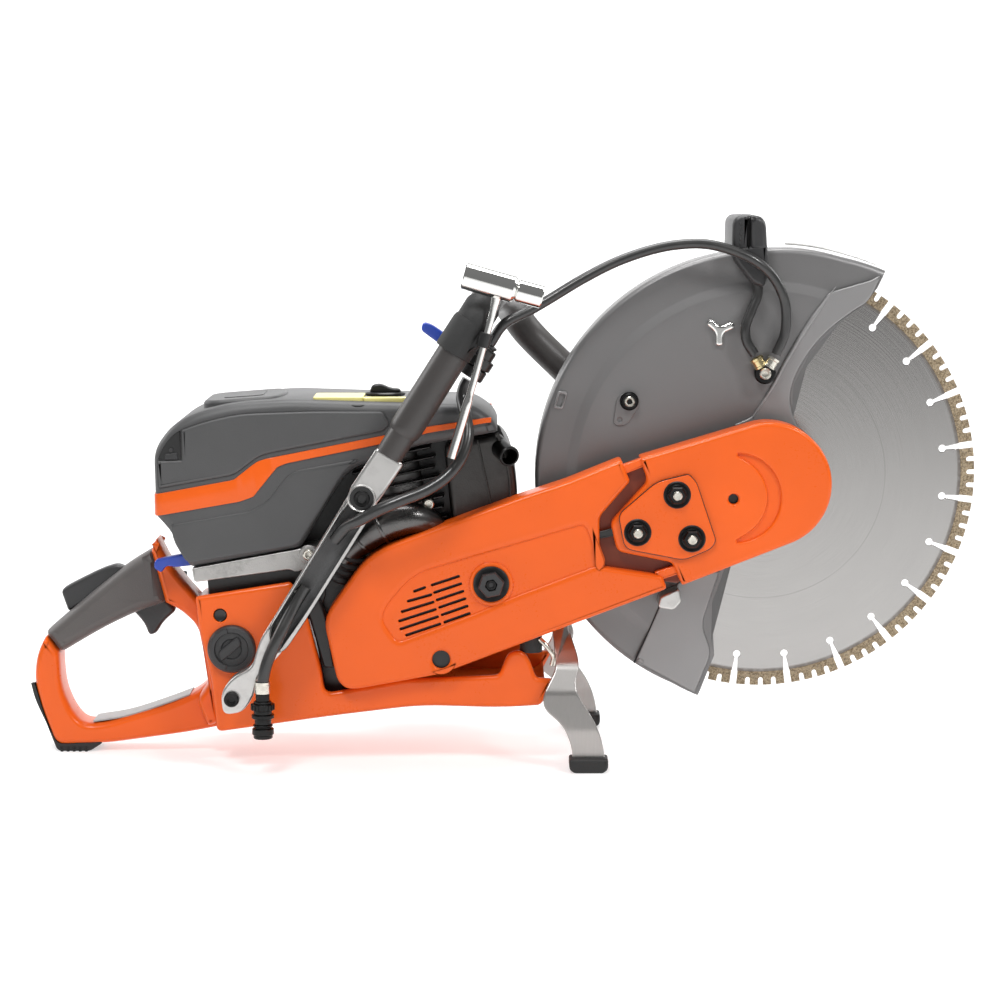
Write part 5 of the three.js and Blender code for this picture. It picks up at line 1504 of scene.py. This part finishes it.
class SAW_OT_engine(BuildStep, bpy.types.Operator):
    """The finned cylinder, the muffler with its outlet, the air duct and the filter's cast base."""

    bl_idname = "saw.engine"
    bl_label = "Engine"

    def build(self, settings):
        dark = look("dark_casting")
        barrel = turned([(25.5, 0), (31, 0), (31, 90), (25.5, 90)], 64, closed=True)
        barrel = barrel.standing(
            (*on_engine(0, 48)[:1], 0, on_engine(0, 48)[1]), (-math.sin(LEAN), 0, math.cos(LEAN))
        )
        fins = Form(np.zeros((0, 3)), [])
        for number in range(9):
            up = 62 + number * 8.2
            reach = 34 - 2 * (number % 2)
            corners = [(*on_engine(-reach, up), 1), (*on_engine(reach, up), 1),
                       (*on_engine(reach + 0.6, up + 2.6), 1.2), (*on_engine(-reach - 0.6, up + 2.6), 1.2)]
            fins += plate(rounded(corners, 3), -38, 36, (1.0, 5))
        piece("finned_barrel", barrel + fins, look("duct_casting"), replaces=["cylinder"])
        shroud = rounded([(-352, 4, 4), (-318, 34, 4), (-214, 44, 3), (-204, 20, 3), (-204, -30, 3),
                          (-250, -58, 6), (-330, -78, 6), (-366, -70, 4), (-380, -46, 4)])
        piece("cylinder_shroud", plate(shroud, -24, -20, (1, 1)), look("black_plastic"))
        lower = rounded([(-449, -76, 4), (-372, -70, 4), (-352, -88, 6), (-360, -112, 4), (-446, -114, 4)])
        piece("lower_shroud", plate(lower, -46, -42, (1, 1)), look("black_plastic"))
        self.muffler(dark)
        self.duct()
        base = rounded(
            [(-459.5, -68.6, 1), (-458, -80, 3), (-381, -69.5, 3), (-376, -72, 4), (-366, -67, 6),
             (-357, -56, 5), (-361, -49.5, 4), (-372, -52.5, 4)]
        )
        cast = plate(base, -58, 57, (1.2, 1.2))
        piece("filter_tray", cast, look("rough_aluminium"), replaces=["filter_base"])
        boss = along_y(turned(knob_profile([(7.6, 3)], 0.8), 36), -366, -57.6, -57)
        piece("tray_boss", boss, look("rough_aluminium"))
        piece("tray_screw", screw(-366, -60.4, -57, 4.4, 2.6, 2.2), look("zinc"))
        for x, z in ((-340, -131), (-350, -118)):
            piece(
                f"case_screw_{abs(x)}", screw(x, near("crankcase") - 0.2, z, 5, 4, 2.4), look("black_steel")
            )

    @staticmethod
    def muffler(dark):
        corners = [(-258, 30, 6), (-252, -33, 6), (-205, -30, 5), (-198.6, -12, 6), (-201.5, 12, 6),
                   (-207, 30, 6), (-214, 38, 4)]
        box = plate(rounded(corners), -44, 43.5, (5, 5))
        piece("muffler_shell", box, dark, replaces=["muffler"])
        seam = smooth_path(
            [(-215, -44.6, 39), (-206, -44.9, 8), (-204.5, -44.9, -10), (-206.5, -44.6, -31)], 40
        )
        ribs = tube(seam, 1.3, 10)
        rib = smooth_path(
            [(-231, -44.4, 33), (-226, -44.6, 10), (-220, -44.6, -20), (-219, -44.4, -33)], 40
        )
        ribs += tube(rib, 0.8, 10)
        piece("muffler_seams", ribs, dark)
        profile = [
            (6.3, -14), (7.6, -14), (7.6, 21), (8.3, 21.8), (8.3, 23.4), (7.6, 24.2), (6.6, 24.2), (6.3, 23)
        ]
        pipe = turned(profile, 48, closed=True) + turned([(0, 6), (6.4, 6), (6.4, 7), (0, 7)], 32)
        outlet = pipe.standing((-214, -38, 27), (8, -20, -5))
        piece("outlet_pipe", outlet, look("black_steel"))
        piece("muffler_screw", screw(-270, -46, -18, 4.2, 5, 2.1), look("zinc"))

    @staticmethod
    def duct():
        """The shiny cast intake elbow: a tube whose radius swells in its middle, with two raised bands."""
        route = [(-338, -47, -62), (-329, -52, -50), (-316, -55, -39), (-300, -56, -31), (-284, -55, -28.5),
                 (-271, -50, -33), (-263, -42, -41)]
        path = smooth_path(route, 60)
        share = np.linspace(0, 1, 60)
        radius = 10.5 + 3.6 * np.sin(share * math.pi) ** 1.4
        piece("intake_elbow", tube(path, radius, 36), look("duct_casting"), replaces=["air_duct"])
        rings = Form(np.zeros((0, 3)), [])
        for at in (14, 26):
            way = path[at + 1] - path[at]
            size = radius[at]
            rings += straight(
                path[at], path[at] + way,
                [
                    (0, -1.6), (size + 0.6, -1.4), (size + 1.2, -0.5), (size + 1.2, 0.5), (size + 0.6, 1.4),
                    (0, 1.6)
                ], 36,
            )
        piece("elbow_bands", rings, look("duct_casting"))
        rubber = smooth_path([(-344, -40, -78), (-338, -44, -66), (-330, -50, -52)], 30)
        wave = 12 + 1.2 * np.sin(np.linspace(0, 8 * math.pi, 30))
        piece("intake_boot", tube(rubber, wave, 32), look("rubber"))


# ---------------------------------------------------------------- tank frame and rear handle


class SAW_OT_tank_frame(BuildStep, bpy.types.Operator):
    """The orange frame that holds the fuel, with the loop of the rear handle."""

    bl_idname = "saw.tank_frame"
    bl_label = "Tank frame"

    def build(self, settings):
        orange, half = look("orange_plastic"), 62.0
        side = rounded(
            [(-457, -91, 3), (-454.5, -117, 8), (-445, -158, 10), (-441, -201.5, 5), (-350, -188.5, 20),
             (-277, -179.5, 20), (-213, -181.5, 20), (-180, -179.5, 4), (-169, -158, 4), (-184, -157, 3),
             (-190, -140, 8), (-197, -134, 5), (-207, -137, 6), (-214, -155, 4), (-290, -158, 4),
             (-354, -170, 8), (-356.5, -150, 8), (-367, -108, 6), (-380, -79, 3)]
        )
        cheek = plate(
            side, -half, -half + 6, (3.5, 3.5), holes=[circle(-437, -106, 5.4, 32)], hole_edge=(0.8, 0.8)
        )
        tank = rounded(
            [(-454, -108, 6), (-441, -199, 5), (-352, -186, 5), (-358, -150, 6), (-368, -110, 5)]
        )
        block = plate(tank, -half + 4, half - 4, (1, 1))
        tray_floor = rounded([(-352, -186.5), (-277, -177.5, 20), (-213, -179.5, 20), (-182, -177.5, 3),
                              (-176, -165, 2), (-184, -172, 3), (-277, -172.5, 20), (-350, -180)])
        block += plate(tray_floor, -half + 4, half - 4, (0.6, 0.6))
        piece("tank_body", cheek + cheek.mirrored() + block, orange, replaces=["tank_frame"])
        plug = along_y(
            turned([(0, -1.2), (3.4, -1.2), (4.6, -0.6), (5.2, -1.4), (5.2, -4), (0, -4)], 36), -437, -half,
            -106
        )
        piece("side_plug", plug, look("black_plastic"))
        mount = plate(rounded([(-378, -84, 3), (-366, -110, 3), (-355, -150, 3), (-346, -150, 3),
                               (-352, -108, 5), (-364, -80, 4)]), -56, -46, (2, 2))
        screen = plate(rounded([(-374, -74, 3), (-338, -66, 3), (-326, -130, 4), (-330, -171, 3),
                                (-354, -174, 3), (-360, -140, 4)]), -42, -38, (1, 1))
        piece("frame_bracket", mount + screen, look("black_plastic"))
        self.loop()
        self.fuel_cap(half)

    @staticmethod
    def loop():
        """The handle's loop: an oval-edged band, and a plain film on the inside of its lower run."""
        outline = rounded(
            [(-493.5, -50, 3), (-498, -61, 1), (-487, -104, 1), (-475, -110, 7), (-461, -123, 8),
             (-451, -168, 5), (-463, -178.5, 8), (-485, -188, 12), (-537, -203.5, 10), (-556, -205, 8),
             (-565.5, -194, 12), (-573.5, -174, 14), (-574.5, -146, 2), (-585.5, -131, 3),
             (-593.5, -147, 12), (-596, -168, 14), (-590, -193, 20), (-579, -222.5, 8), (-537, -221.5, 12),
             (-471, -212.5, 20), (-438, -206, 3), (-442, -150, 10), (-448, -112, 8), (-461, -98, 10),
             (-473, -84, 12), (-484, -70, 12)]
        )
        band = plate(outline, -18, 18, (4.6, 8))
        fillet = rounded([(-461, -99, 4), (-452, -96, 4), (-452, -116, 8), (-446, -160, 10),
                          (-440, -200, 6), (-452, -205, 4), (-462, -182, 8), (-450, -166, 8),
                          (-459, -126, 10)])
        foot = plate(fillet, -34, 34, (5, 16))
        piece("rear_loop", band + foot, look("orange_plastic"))
        film = smooth_path([(-548, 0, -203.4), (-520, 0, -198.6), (-486, 0, -187.6), (-468, 0, -180.8)], 30)
        sideways = np.array([0, 1, 0])
        width = np.array([-13.5, 13.5])
        rows = film[:, None] + width[None, :, None] * sideways
        lifted = np.concatenate([rows + (0, 0, 0.9), rows[:, ::-1] + (0, 0, -0.4)], 1)
        piece("loop_film", loft(lifted), look("grey_label"))

    @staticmethod
    def fuel_cap(half):
        x, z = -428, -133
        rim = [(0, 1.4), (7.5, 1.4), (8.5, 2.6), (13, 2.8), (14, 4.4), (17.6, 4.6), (18.8, 3.6),
               (19.4, 1.6), (19.4, -0.4), (14, -0.6), (14, -4), (0, -4)]
        cap = along_y(turned(rim, 72), x, -half - 0.4, z)
        arc_out, arc_in = arc(x, z, 17.4, 100, 255, 20), arc(x, z, 13.4, 255, 100, 20)
        lip = plate(np.array([*arc_out, *arc_in]), -half - 6, -half - 3.4, (0.7, 0.7))
        bar = plate(rounded([(x - 8, z - 10, 3), (x + 9, z + 4, 4), (x + 5, z + 11, 3),
                             (x - 11, z - 2, 4)]),
                    -half - 5.6, -half - 1, (1.2, 1.6))
        piece("tank_cap", cap + lip + bar, look("dark_plastic"), "tank_cap", replaces=["fuel_cap"])


class SAW_OT_rear_handle(BuildStep, bpy.types.Operator):
    """The soft rear grip, its trigger and lockout, the choke lever, the stop switch and the foot pad."""

    bl_idname = "saw.rear_handle"
    bl_label = "Rear handle"

    def build(self, settings):
        soft = rounded(
            [(-586.5, -129, 4), (-548, -96, 30), (-519, -73, 20), (-498, -60.5, 3), (-486.5, -104, 4),
             (-513, -113, 10), (-540, -126, 20), (-573.5, -146, 4)], 7
        )
        body = plate(soft, -17.5, 17.5, (8, 11)).bent(self.swollen)
        piece("soft_grip", body, look("grip_rubber"), replaces=["rear_grip"], crease=40)
        lock = rounded([(-574, -95, 4), (-566, -90, 8), (-540, -77, 12), (-527, -73, 4), (-519, -77, 3),
                        (-523, -86, 3), (-568, -113, 3)])
        piece(
            "lockout", plate(lock, -7, 7, (2.4, 4)), look("dark_plastic"), "lockout",
            replaces=["throttle_lockout"]
        )
        pull = rounded([(-516, -111, 3), (-506, -122, 10), (-502, -133, 4), (-496, -131, 3),
                        (-490, -121, 8), (-478, -111, 6), (-490, -100, 3), (-498, -99, 3)])
        piece("trigger_lever", plate(pull, -7, 7, (3, 4.5)), look("dark_plastic"), "trigger",
              replaces=["throttle_trigger"])
        lever = rounded([(-493, -72.5, 2), (-492.5, -65.5, 3), (-480, -62.5, 3), (-467, -60, 3),
                         (-462, -63, 3), (-462, -70, 2), (-476, -71.5, 3), (-483, -70, 3), (-487, -76, 2)])
        piece(
            "choke_slide", plate(lever, -35, -26, (1.4, 2.2)), look("blue_plastic"), "choke",
            replaces=["choke_lever"]
        )
        low, high = extent("stop_switch")
        slider = rounded(
            [(low[0], low[2], 1.5), (high[0], low[2], 1.5), (high[0], high[2], 1.5), (low[0], high[2], 1.5)]
        )
        switch = plate(slider, low[1], low[1] + 3.4, (0.8, 0.8))
        for step in (-2.6, 0, 2.6):
            x = (low[0] + high[0]) / 2 + step
            switch += plate(rounded([(x - 0.8, low[2] + 1), (x + 0.8, low[2] + 1), (x + 0.8, high[2] - 1),
                                     (x - 0.8, high[2] - 1)]),
                            low[1] + 3, high[1], (0.4, 0.6))
        piece("stop_slide", switch, look("black_plastic"), "stop_slider", replaces=["stop_switch"])
        pad = rounded([(-596.5, -171, 1), (-593.5, -184, 10), (-577, -221, 3), (-541, -218.5, 2),
                       (-541, -221.5, 2), (-551, -228, 3), (-578, -228, 4), (-588.6, -200, 16)])
        tread = plate(pad, -16, 16, (1.2, 3))
        for step in range(5):
            x = -574 + step * 5
            tread += plate(rounded([(x - 1.2, -228, 0.4), (x + 1.2, -228, 0.4), (x + 1, -224, 0.4),
                                    (x - 1, -224, 0.4)]),
                           -17, 17, (0.4, 0.6))
        piece("rear_pad", tread, look("rubber"), replaces=["rear_foot_pad"])

    @staticmethod
    def swollen(points):
        """Widens the grip in its middle, by a sine along X."""
        share = np.clip((points[:, 0] + 586) / 100, 0, 1)
        points[:, 1] *= 0.94 + 0.1 * np.sin(share * math.pi)
        return points


# ---------------------------------------------------------------- front handle and arm


class SAW_OT_front_handle(BuildStep, bpy.types.Operator):
    """The bent front tube with its soft sleeve, the casting that holds it, and the water valve on it."""

    bl_idname = "saw.front_handle"
    bl_label = "Front handle"

    def build(self, settings):
        self.arm()
        route = [(-300, -92, 26), (-268, -92, 76.5), (-236.6, -92, 126), (-231.6, -91, 134),
                 (-221, -66, 149), (-214, -10, 147), (-209, 60, 140), (-203, 94, 130), (-190, 105, 111),
                 (-158, 105, 79), (-122, 105, 45), (-108, 103, 12), (-114, 98, -25), (-132, 88, -62),
                 (-160, 76, -94)]
        path = smooth_path(route, 240)
        piece("bare_tube", tube(path, 11, 32), look("sleeve_rubber"), replaces=["front_handle_tube"])
        start, end = int(len(path) / 28), int(len(path) * 20 / 28)
        sleeve = path[start:end]
        radius = np.full(len(sleeve), 13.0)
        radius[:3] = (11.2, 12.4, 12.9)
        radius[-3:] = (12.9, 12.4, 11.2)
        piece(
            "handle_sleeve", tube(sleeve, radius, 36), look("sleeve_rubber"), replaces=["front_grip_sleeve"]
        )
        collar = [point for point in sleeve if 113 < point[2] < 141 and point[1] < -70]
        if len(collar) > 3:
            piece("sleeve_collar", tube(np.array(collar), 14.2, 36), look("rubber"))
        self.valve()

    @staticmethod
    def arm():
        outline = rounded(
            [(-323, 10, 3), (-341, -20, 8), (-376, -77, 20), (-393, -105, 12), (-402, -119, 8),
             (-409, -142, 6), (-425, -150, 8), (-434, -163, 8), (-432, -180, 6), (-417, -178, 6),
             (-408, -166, 6), (-404, -148, 7), (-389, -135, 8), (-365, -101, 20), (-313, -18, 8),
             (-303, 0, 3)]
        )
        channel = rounded(
            [(-327, -6, 4), (-338.3, -21, 4), (-373.5, -78.5, 10), (-390.5, -106, 8), (-394, -115, 5),
             (-388, -128, 5), (-383, -125, 5), (-367.5, -102, 10), (-316.5, -20.5, 6), (-313, -8, 4)]
        )
        body = plate(outline, -96, -80, (1.8, 1.6), holes=[channel], hole_edge=(2, 2))
        web = plate(channel, -86, -82, (0.1, 0.1))
        rib = rounded([(-375.5, -82, 0.5), (-369, -91, 0.5), (-367.4, -89.8, 0.5), (-373.6, -80.6, 0.5)])
        body += plate(rib, -90, -85, (0.8, 0.6))
        piece("arm_channel", web, look("cover_plastic"))
        piece("cast_arm", body, look("cast_aluminium"), replaces=["handle_arm"])
        tongue = rounded(
            [(-309, 33, 3), (-288, 20, 3), (-309, -11, 5), (-319, -17.5, 6), (-331, -14, 6), (-331, 0, 4)]
        )
        lug = plate(tongue, -98, -92, (2.4, 1.6))
        piece("tube_tongue", lug, look("cast_aluminium"))
        round_pocket = along_y(
            turned([(9.4, 0.2), (10.4, 0.9), (11.2, 0.2), (11.2, -1), (9.4, -1)], 40, closed=True), -321,
            -98, -7
        )
        piece("tongue_ring", round_pocket, look("cast_aluminium"))
        piece("tongue_recess",
              along_y(turned([(0, 0.3), (9.6, 0.3), (9.6, -1), (0, -1)], 40), -321, -98, -7),
              look("black_plastic"))
        piece("arm_bolt_upper", screw(-321, -97, -7, 6.4, 2.4, 3.2), look("black_steel"))
        piece("arm_bolt_lower", screw(-425, -96, -167, 6, 4, 3), look("black_steel"))

    @staticmethod
    def valve():
        black = look("black_plastic")
        near_run = np.array([(-250.0, -92, 104.9), (-234.0, -92, 130.0)])
        way = near_run[1] - near_run[0]
        way = way / np.linalg.norm(way)
        at = np.array((-250.0, -92, 106.5))
        collar = straight(at, at + way * 30,
                          [(12.6, 0), (14.4, 0.2), (15.2, 1), (15.0, 26), (14.2, 29), (12.6, 29.4)], 40)
        piece("tube_saddle", collar, look("rubber"), replaces=["valve_clamp"])
        low, high = np.array((-226.5, -107, 112)), np.array((-223.5, -107, 123))
        clip = straight(
            low, low + (high - low) / 11.4,
            [(3.2, 0), (4.8, 0), (5.4, 0.6), (5.4, 10.8), (4.8, 11.4), (3.2, 11.4)], 28
        )
        clip += plate(
            rounded([(-240, 106, 2), (-228, 113, 2), (-226, 121, 2), (-236, 126, 3)]), -104, -92, (1.5, 1.5)
        )
        piece("key_clip", clip, black)
        start = np.array((-237.0, -66, 86))
        way = np.array((64.0, 0, 101)) / 119.57
        profile = [(0, 0), (9.6, 0), (10.5, 0.9), (10.5, 8.4), (9.6, 9.2), (8.7, 9.6), (8.7, 25), (8, 26),
                   (6, 26.4), (6, 27.4), (7, 28), (7, 29.4), (5.6, 30), (0, 30)]
        piece("valve_barrel", straight(start, start + way, profile, 40), black, replaces=["valve_body"])
        ring = straight(
            start + way * 10, start + way * 18,
            [(8.9, 0), (10.8, 0), (11.4, 0.6), (11.4, 7.4), (10.8, 8), (8.9, 8)], 40
        )
        piece("lever_hub", ring, black, "water_lever")
        paddle = rounded(
            [(-9, -4, 2), (-30, -5, 8), (-52, -3.4, 3), (-54, 3, 3), (-48, 5, 4), (-28, 4.4, 8), (-9, 4, 2)]
        )
        blade_form = plate(paddle, -5, 5, (1.6, 1.6))
        side = np.array((way[2], 0, -way[0]))
        local = blade_form.points
        blade_form = Form(
            start + way * 14 + local[:, :1] * side + local[:, 1:2] * (0, 1, 0) + local[:, 2:] * way,
            blade_form.faces
        )
        piece("valve_paddle", blade_form, look("blue_plastic"), "water_lever", replaces=["valve_lever"])


class SAW_OT_key(BuildStep, bpy.types.Operator):
    """The combination key that hangs on the front tube: two sockets and a bent blade."""

    bl_idname = "saw.key"
    bl_label = "Combination key"

    def build(self, settings):
        big, middle, small = np.array((-241, -107, 167.4)), np.array((-201, -107, 156.2)), np.array(
            (-180, -107, 150.5)
        )
        head = self.socket(big, middle, 10.6, 7.5)
        head += self.socket(small, middle, 9.0, 6.0)
        shaft = smooth_path([(-213, -107, 160), (-238, -107, 69), (-251, -107, 26)], 40)
        radius = np.interp(
            np.linspace(0, 1, 40), [0, 0.06, 0.16, 0.64, 0.67, 1], [6, 4, 3.0, 2.8, 3.6, 3.6]
        )
        piece(
            "spanner", head + tube(shaft, radius, 20), look("chrome"), "key", replaces=["combination_key"]
        )

    @staticmethod
    def socket(mouth, root, radius, bore):
        length = float(np.linalg.norm(root - mouth))
        way = (root - mouth) / length
        depth = 11.0
        profile = [(0, depth), (bore, depth), (bore, 0.6), (bore + 0.5, 0), (radius - 0.6, 0),
                   (radius, 0.8), (radius, length - 2), (radius - 1.5, length), (0, length)]
        return straight(mouth, mouth + way, profile, 36)


class SAW_OT_stand(BuildStep, bpy.types.Operator):
    """The bent steel stand in front, its foot pads, and the rubber dampers with their hook."""

    bl_idname = "saw.stand"
    bl_label = "Stand"

    def build(self, settings):
        side = rounded(
            [(-172, -108, 2), (-168, -147, 6), (-179, -167, 8), (-178, -178, 6), (-162, -192, 8),
             (-156, -208, 6), (-155, -219, 1), (-129, -219, 1), (-132, -202, 8), (-138, -187, 10),
             (-151, -168, 8), (-153, -157, 6), (-149, -143, 8), (-157, -122, 8), (-158, -108, 2)]
        )
        leg = plate(side, -2, 2, (1, 1)).bent(self.spread)
        beam = plate(
            rounded([(-172, -42, 2), (-158, -42, 2), (-158, 42, 2), (-172, 42, 2)]), 104.4, 108.4,
            (0.8, 0.8)
        )
        beam = Form(beam.points[:, [0, 2, 1]] * (1, 1, -1), beam.faces)
        piece("leg_frame", leg + leg.mirrored() + beam, look("leg_steel"), replaces=["front_stand"])
        foot = rounded([(-158, -216.5, 2), (-127, -216.5, 2), (-127, -225, 3), (-131, -228, 2),
                        (-154, -228, 2), (-158, -225, 3)])
        pad = plate(foot, -94, -74, (2, 2))
        piece("pad_right", pad, look("rubber"), replaces=["foot_pad_right"])
        piece("pad_left", pad.mirrored(), look("rubber"), replaces=["foot_pad_left"])
        dark = look("rubber")
        buffers = tube(np.array([(-188.0, -52, -137), (-188.0, -52, -124)]), 9, 28)
        piece("front_damper", buffers, dark)
        hook = smooth_path([(-181, -58, -126), (-176, -60, -131), (-170, -60, -140), (-171, -58, -147)], 24)
        piece("damper_hook", tube(hook, 2.2, 16), look("zinc"))

    @staticmethod
    def spread(points):
        """Bends the flat leg outwards: its distance from the middle plane is a function of height."""
        height = points[:, 2]
        centre = np.interp(-height, [108, 124, 145, 165, 195, 219], [40, 41, 70, 80, 84, 84])
        points[:, 1] -= centre
        return points


# ---------------------------------------------------------------- starter and small parts


class SAW_OT_starter(BuildStep, bpy.types.Operator):
    """The recoil starter with its louvres, screws and handle, and the decompression button."""

    bl_idname = "saw.starter"
    bl_label = "Starter"

    def build(self, settings):
        low, high = extent("starter_housing")
        x, z = CRANK
        outer, inner = high[1], low[1]
        cup = [(0, outer), (46, outer), (54, outer - 2.4), (58.6, outer - 7), (60, outer - 12), (60, inner),
               (57.5, inner), (57.5, outer - 12), (54, outer - 6), (46, outer - 2.5), (0, outer - 2.5)]
        form = turned(cup, 72)
        form = Form(
            np.stack([x + form.points[:, 0], form.points[:, 2], z + form.points[:, 1]], 1), form.faces
        )
        piece("recoil_cup", form, look("dark_plastic"), replaces=["starter_housing"])
        slots = Form(np.zeros((0, 3)), [])
        for number in range(18):
            bar = plate(pill((x + 33, z), (x + 50, z), 1.7, 6), outer - 0.6, outer + 0.25, (0.3, 0.2))
            slots += about_axis(bar, number * 20, x, z)
        piece("louvres", slots, look("black_plastic"))
        bolts = Form(np.zeros((0, 3)), [])
        for number in range(4):
            sx, sz = x + 56 * math.cos(math.radians(45 + 90 * number)), z + 56 * math.sin(
                math.radians(45 + 90 * number)
            )
            bolts += turned(knob_profile([(4, 2.6)], 0.5), 28).standing(
                (sx, outer - 6.5, sz), (0, 1, 0), (0, 0, 1)
            )
        piece("starter_screws", bolts, look("zinc"))
        self.pull_handle()
        low, high = extent("decompression_button")
        middle = (low + high) / 2
        stem = turned([(0, low[1]), (3, low[1]), (3, high[1] - 4), (6, high[1] - 4), (6, high[1] - 0.8),
                       (5.2, high[1]), (0, high[1])], 36)
        stem = Form(
            np.stack([middle[0] + stem.points[:, 0], stem.points[:, 2], middle[2] + stem.points[:, 1]], 1),
            stem.faces
        )
        piece(
            "decompression_knob", stem, look("blue_plastic"), "decompressor",
            replaces=["decompression_button"]
        )

    @staticmethod
    def pull_handle():
        low, high = extent("starter_handle")
        outline = rounded([(low[0], high[2] - 14, 5), (low[0], high[2], 6), (high[0], high[2], 6),
                           (high[0], high[2] - 14, 5), (-297, high[2] - 15, 3), (-297, low[2], 1.5),
                           (-309, low[2], 1.5), (-309, high[2] - 15, 3)])
        piece("pull_grip", plate(outline, low[1] + 1, high[1] - 1, (3, 5)), look("black_plastic"),
              "pull_handle",
              replaces=["starter_handle"])


class SAW_OT_kept_parts(BuildStep, bpy.types.Operator):
    """Better finishes for the simple parts that stay in sight as they are."""

    bl_idname = "saw.kept_parts"
    bl_label = "Kept parts"

    def build(self, settings):
        finishes = {
            "brushed_steel": ("flange_inner", "spindle"),
            "zinc": ("driven_pulley", "spark_plug", "crankshaft"),
            "rough_aluminium": ("crankcase", "piston", "flywheel", "carburettor"),
            "cast_aluminium": ("cutting_arm",),
            "black_steel": ("clutch_drum",),
            "rubber": ("drive_belt",),
            "filter_paper": ("air_filter",),
            "dark_plastic": ("starter_pulley",),
            "rope": ("starter_rope",),
        }
        for finish, nodes in finishes.items():
            for node in nodes:
                paint(node, look(finish))


# ---------------------------------------------------------------- panel and registration


class SAW_PT_panel(bpy.types.Panel):
    """The saw's sizes, colours and steps in the side bar."""

    bl_label = "Cut-off saw"
    bl_idname = "SAW_PT_panel"
    bl_space_type = "VIEW_3D"
    bl_region_type = "UI"
    bl_category = "Saw"

    def draw(self, context):
        column = self.layout.column()
        for name in SawSettings.__annotations__:
            column.prop(context.scene.cut_off_saw, name)
        for step in STEPS:
            column.operator(step.bl_idname)


STEPS = (
    SAW_OT_stage, SAW_OT_hoses, SAW_OT_blade, SAW_OT_guard, SAW_OT_guard_handle, SAW_OT_belt_guards,
    SAW_OT_engine_cover, SAW_OT_engine, SAW_OT_tank_frame, SAW_OT_rear_handle, SAW_OT_front_handle,
    SAW_OT_key, SAW_OT_stand, SAW_OT_starter, SAW_OT_kept_parts,
)
CLASSES = (SawSettings, *STEPS, SAW_PT_panel)


def register():
    for entry in CLASSES:
        bpy.utils.register_class(entry)
    bpy.types.Scene.cut_off_saw = bpy.props.PointerProperty(type=SawSettings)


def unregister():
    del bpy.types.Scene.cut_off_saw
    for entry in reversed(CLASSES):
        bpy.utils.unregister_class(entry)


def main():
    register()
    for step in STEPS:
        group, name = step.bl_idname.split(".")
        getattr(getattr(bpy.ops, group), name)()


if __name__ == "__main__":
    main()
